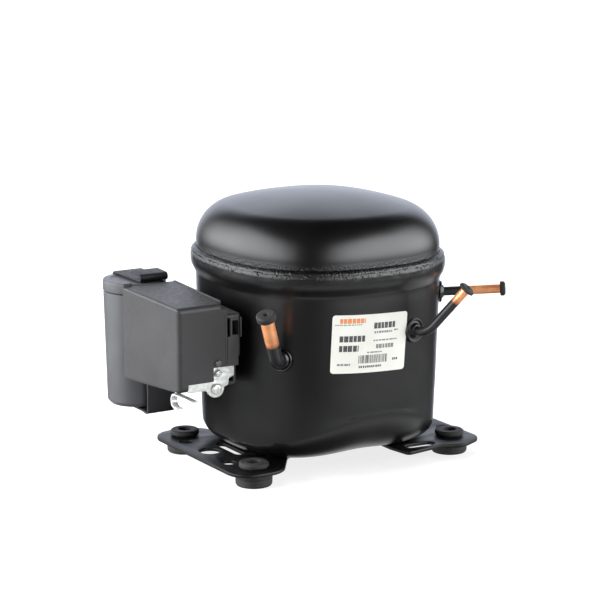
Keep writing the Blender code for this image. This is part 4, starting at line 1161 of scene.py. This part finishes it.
def make_lights():
    ahead, right, up = view_axes()
    softbox("left_softbox", -right + 0.22 * up - 0.10 * ahead, 1.3, (1.5, 1.3), 17.0)
    softbox("right_softbox", right + 0.24 * up - 0.05 * ahead, 1.25, (1.2, 1.2), 4.0)
    softbox("front_fill", -ahead + 0.9 * up + 0.4 * right, 1.6, (1.2, 1.2), 0.6)
    overhead = bpy.data.lights.new("overhead", 'SUN')
    overhead.energy = 2.4
    overhead.angle = radians(50)
    sun = added("overhead", overhead)
    sun.rotation_euler = (radians(-4), radians(-6), 0)
    sun.visible_glossy = False


def make_world():
    """A white room for the camera, and for reflections a dark one with a few glowing areas."""
    world = bpy.data.worlds.new("studio")
    bpy.context.scene.world = world
    room = Nodes(world, "Generated")
    rays = room.node("ShaderNodeLightPath").outputs

    def glow(toward, low, high, brightness=1.0):
        """Light from one side of the room: none at one dot product, full at the other."""
        dot = room.node("ShaderNodeVectorMath")
        dot.operation = 'DOT_PRODUCT'
        dot.inputs[1].default_value = toward
        room.link(room.place, dot.inputs[0])
        return room.span(dot.outputs["Value"], low, high, 0.0, brightness, smooth=True)

    ahead, right, up = view_axes()
    backdrop = glow(ahead + 0.15 * up, 0.80, 0.93, 1.8)
    band = room.math('MULTIPLY', glow(up, -0.26, 0.10), glow(-up, -0.80, -0.62))
    sides = room.math('ADD', glow(-right - 0.15 * ahead, 0.45, 0.98, SIDE_GLOW),
                     glow(right - 0.35 * ahead, 0.40, 0.98, SIDE_GLOW))
    sides = room.math('MULTIPLY', room.math('MULTIPLY', sides, band), rays["Is Glossy Ray"])
    below = room.math('MULTIPLY', glow(-up, 0.0, 0.45, 0.2), glow(right - 0.3 * ahead, -0.3, 0.7))
    beside = room.math('MULTIPLY', glow(-up, 0.27, 0.55, 1.0), glow(up, -0.88, -0.55))
    below = room.math('ADD', below, beside)
    total = room.math('ADD', room.math('ADD', backdrop, below), sides)
    tint = room.blend(backdrop, (0.97, 0.98, 1.0), (0.82, 0.87, 1.0))
    background = room.tree.nodes["Background"].inputs
    room.link(room.blend(rays["Is Camera Ray"], tint, (1.0, 1.0, 1.0)), background["Color"])
    strength = room.node("ShaderNodeMix")
    for source, index in ((rays["Is Camera Ray"], 0), (total, 2)):
        room.link(source, strength.inputs[index])
    strength.inputs[3].default_value = 1.0
    room.link(strength.outputs[0], background["Strength"])


def make_floor():
    mesh = bpy.data.meshes.new("floor")
    half = 30.0
    mesh.from_pydata([(-half, -half, 0), (half, -half, 0), (half, half, 0), (-half, half, 0)],
                     [], [(0, 1, 2, 3)])
    look = Look("floor", Base_Color=(0.30, 0.30, 0.30, 1.0), Roughness=0.9, Specular_IOR_Level=0.0,
                Emission_Color=(1.0, 1.0, 1.0, 1.0), Emission_Strength=0.80)
    mesh.materials.append(look.material)
    floor = added("floor", mesh)
    floor.location.z = -0.0002
    floor.visible_glossy = False


make_camera()
make_shell()
make_cover()
make_bead()
make_feet()
make_tubes()
make_label()
make_box()
make_clamp()
make_capacitor()
make_springs()
dress_kept_nodes()
make_lights()
make_world()
make_floor()
bpy.context.scene.view_settings.view_transform = 'Standard'
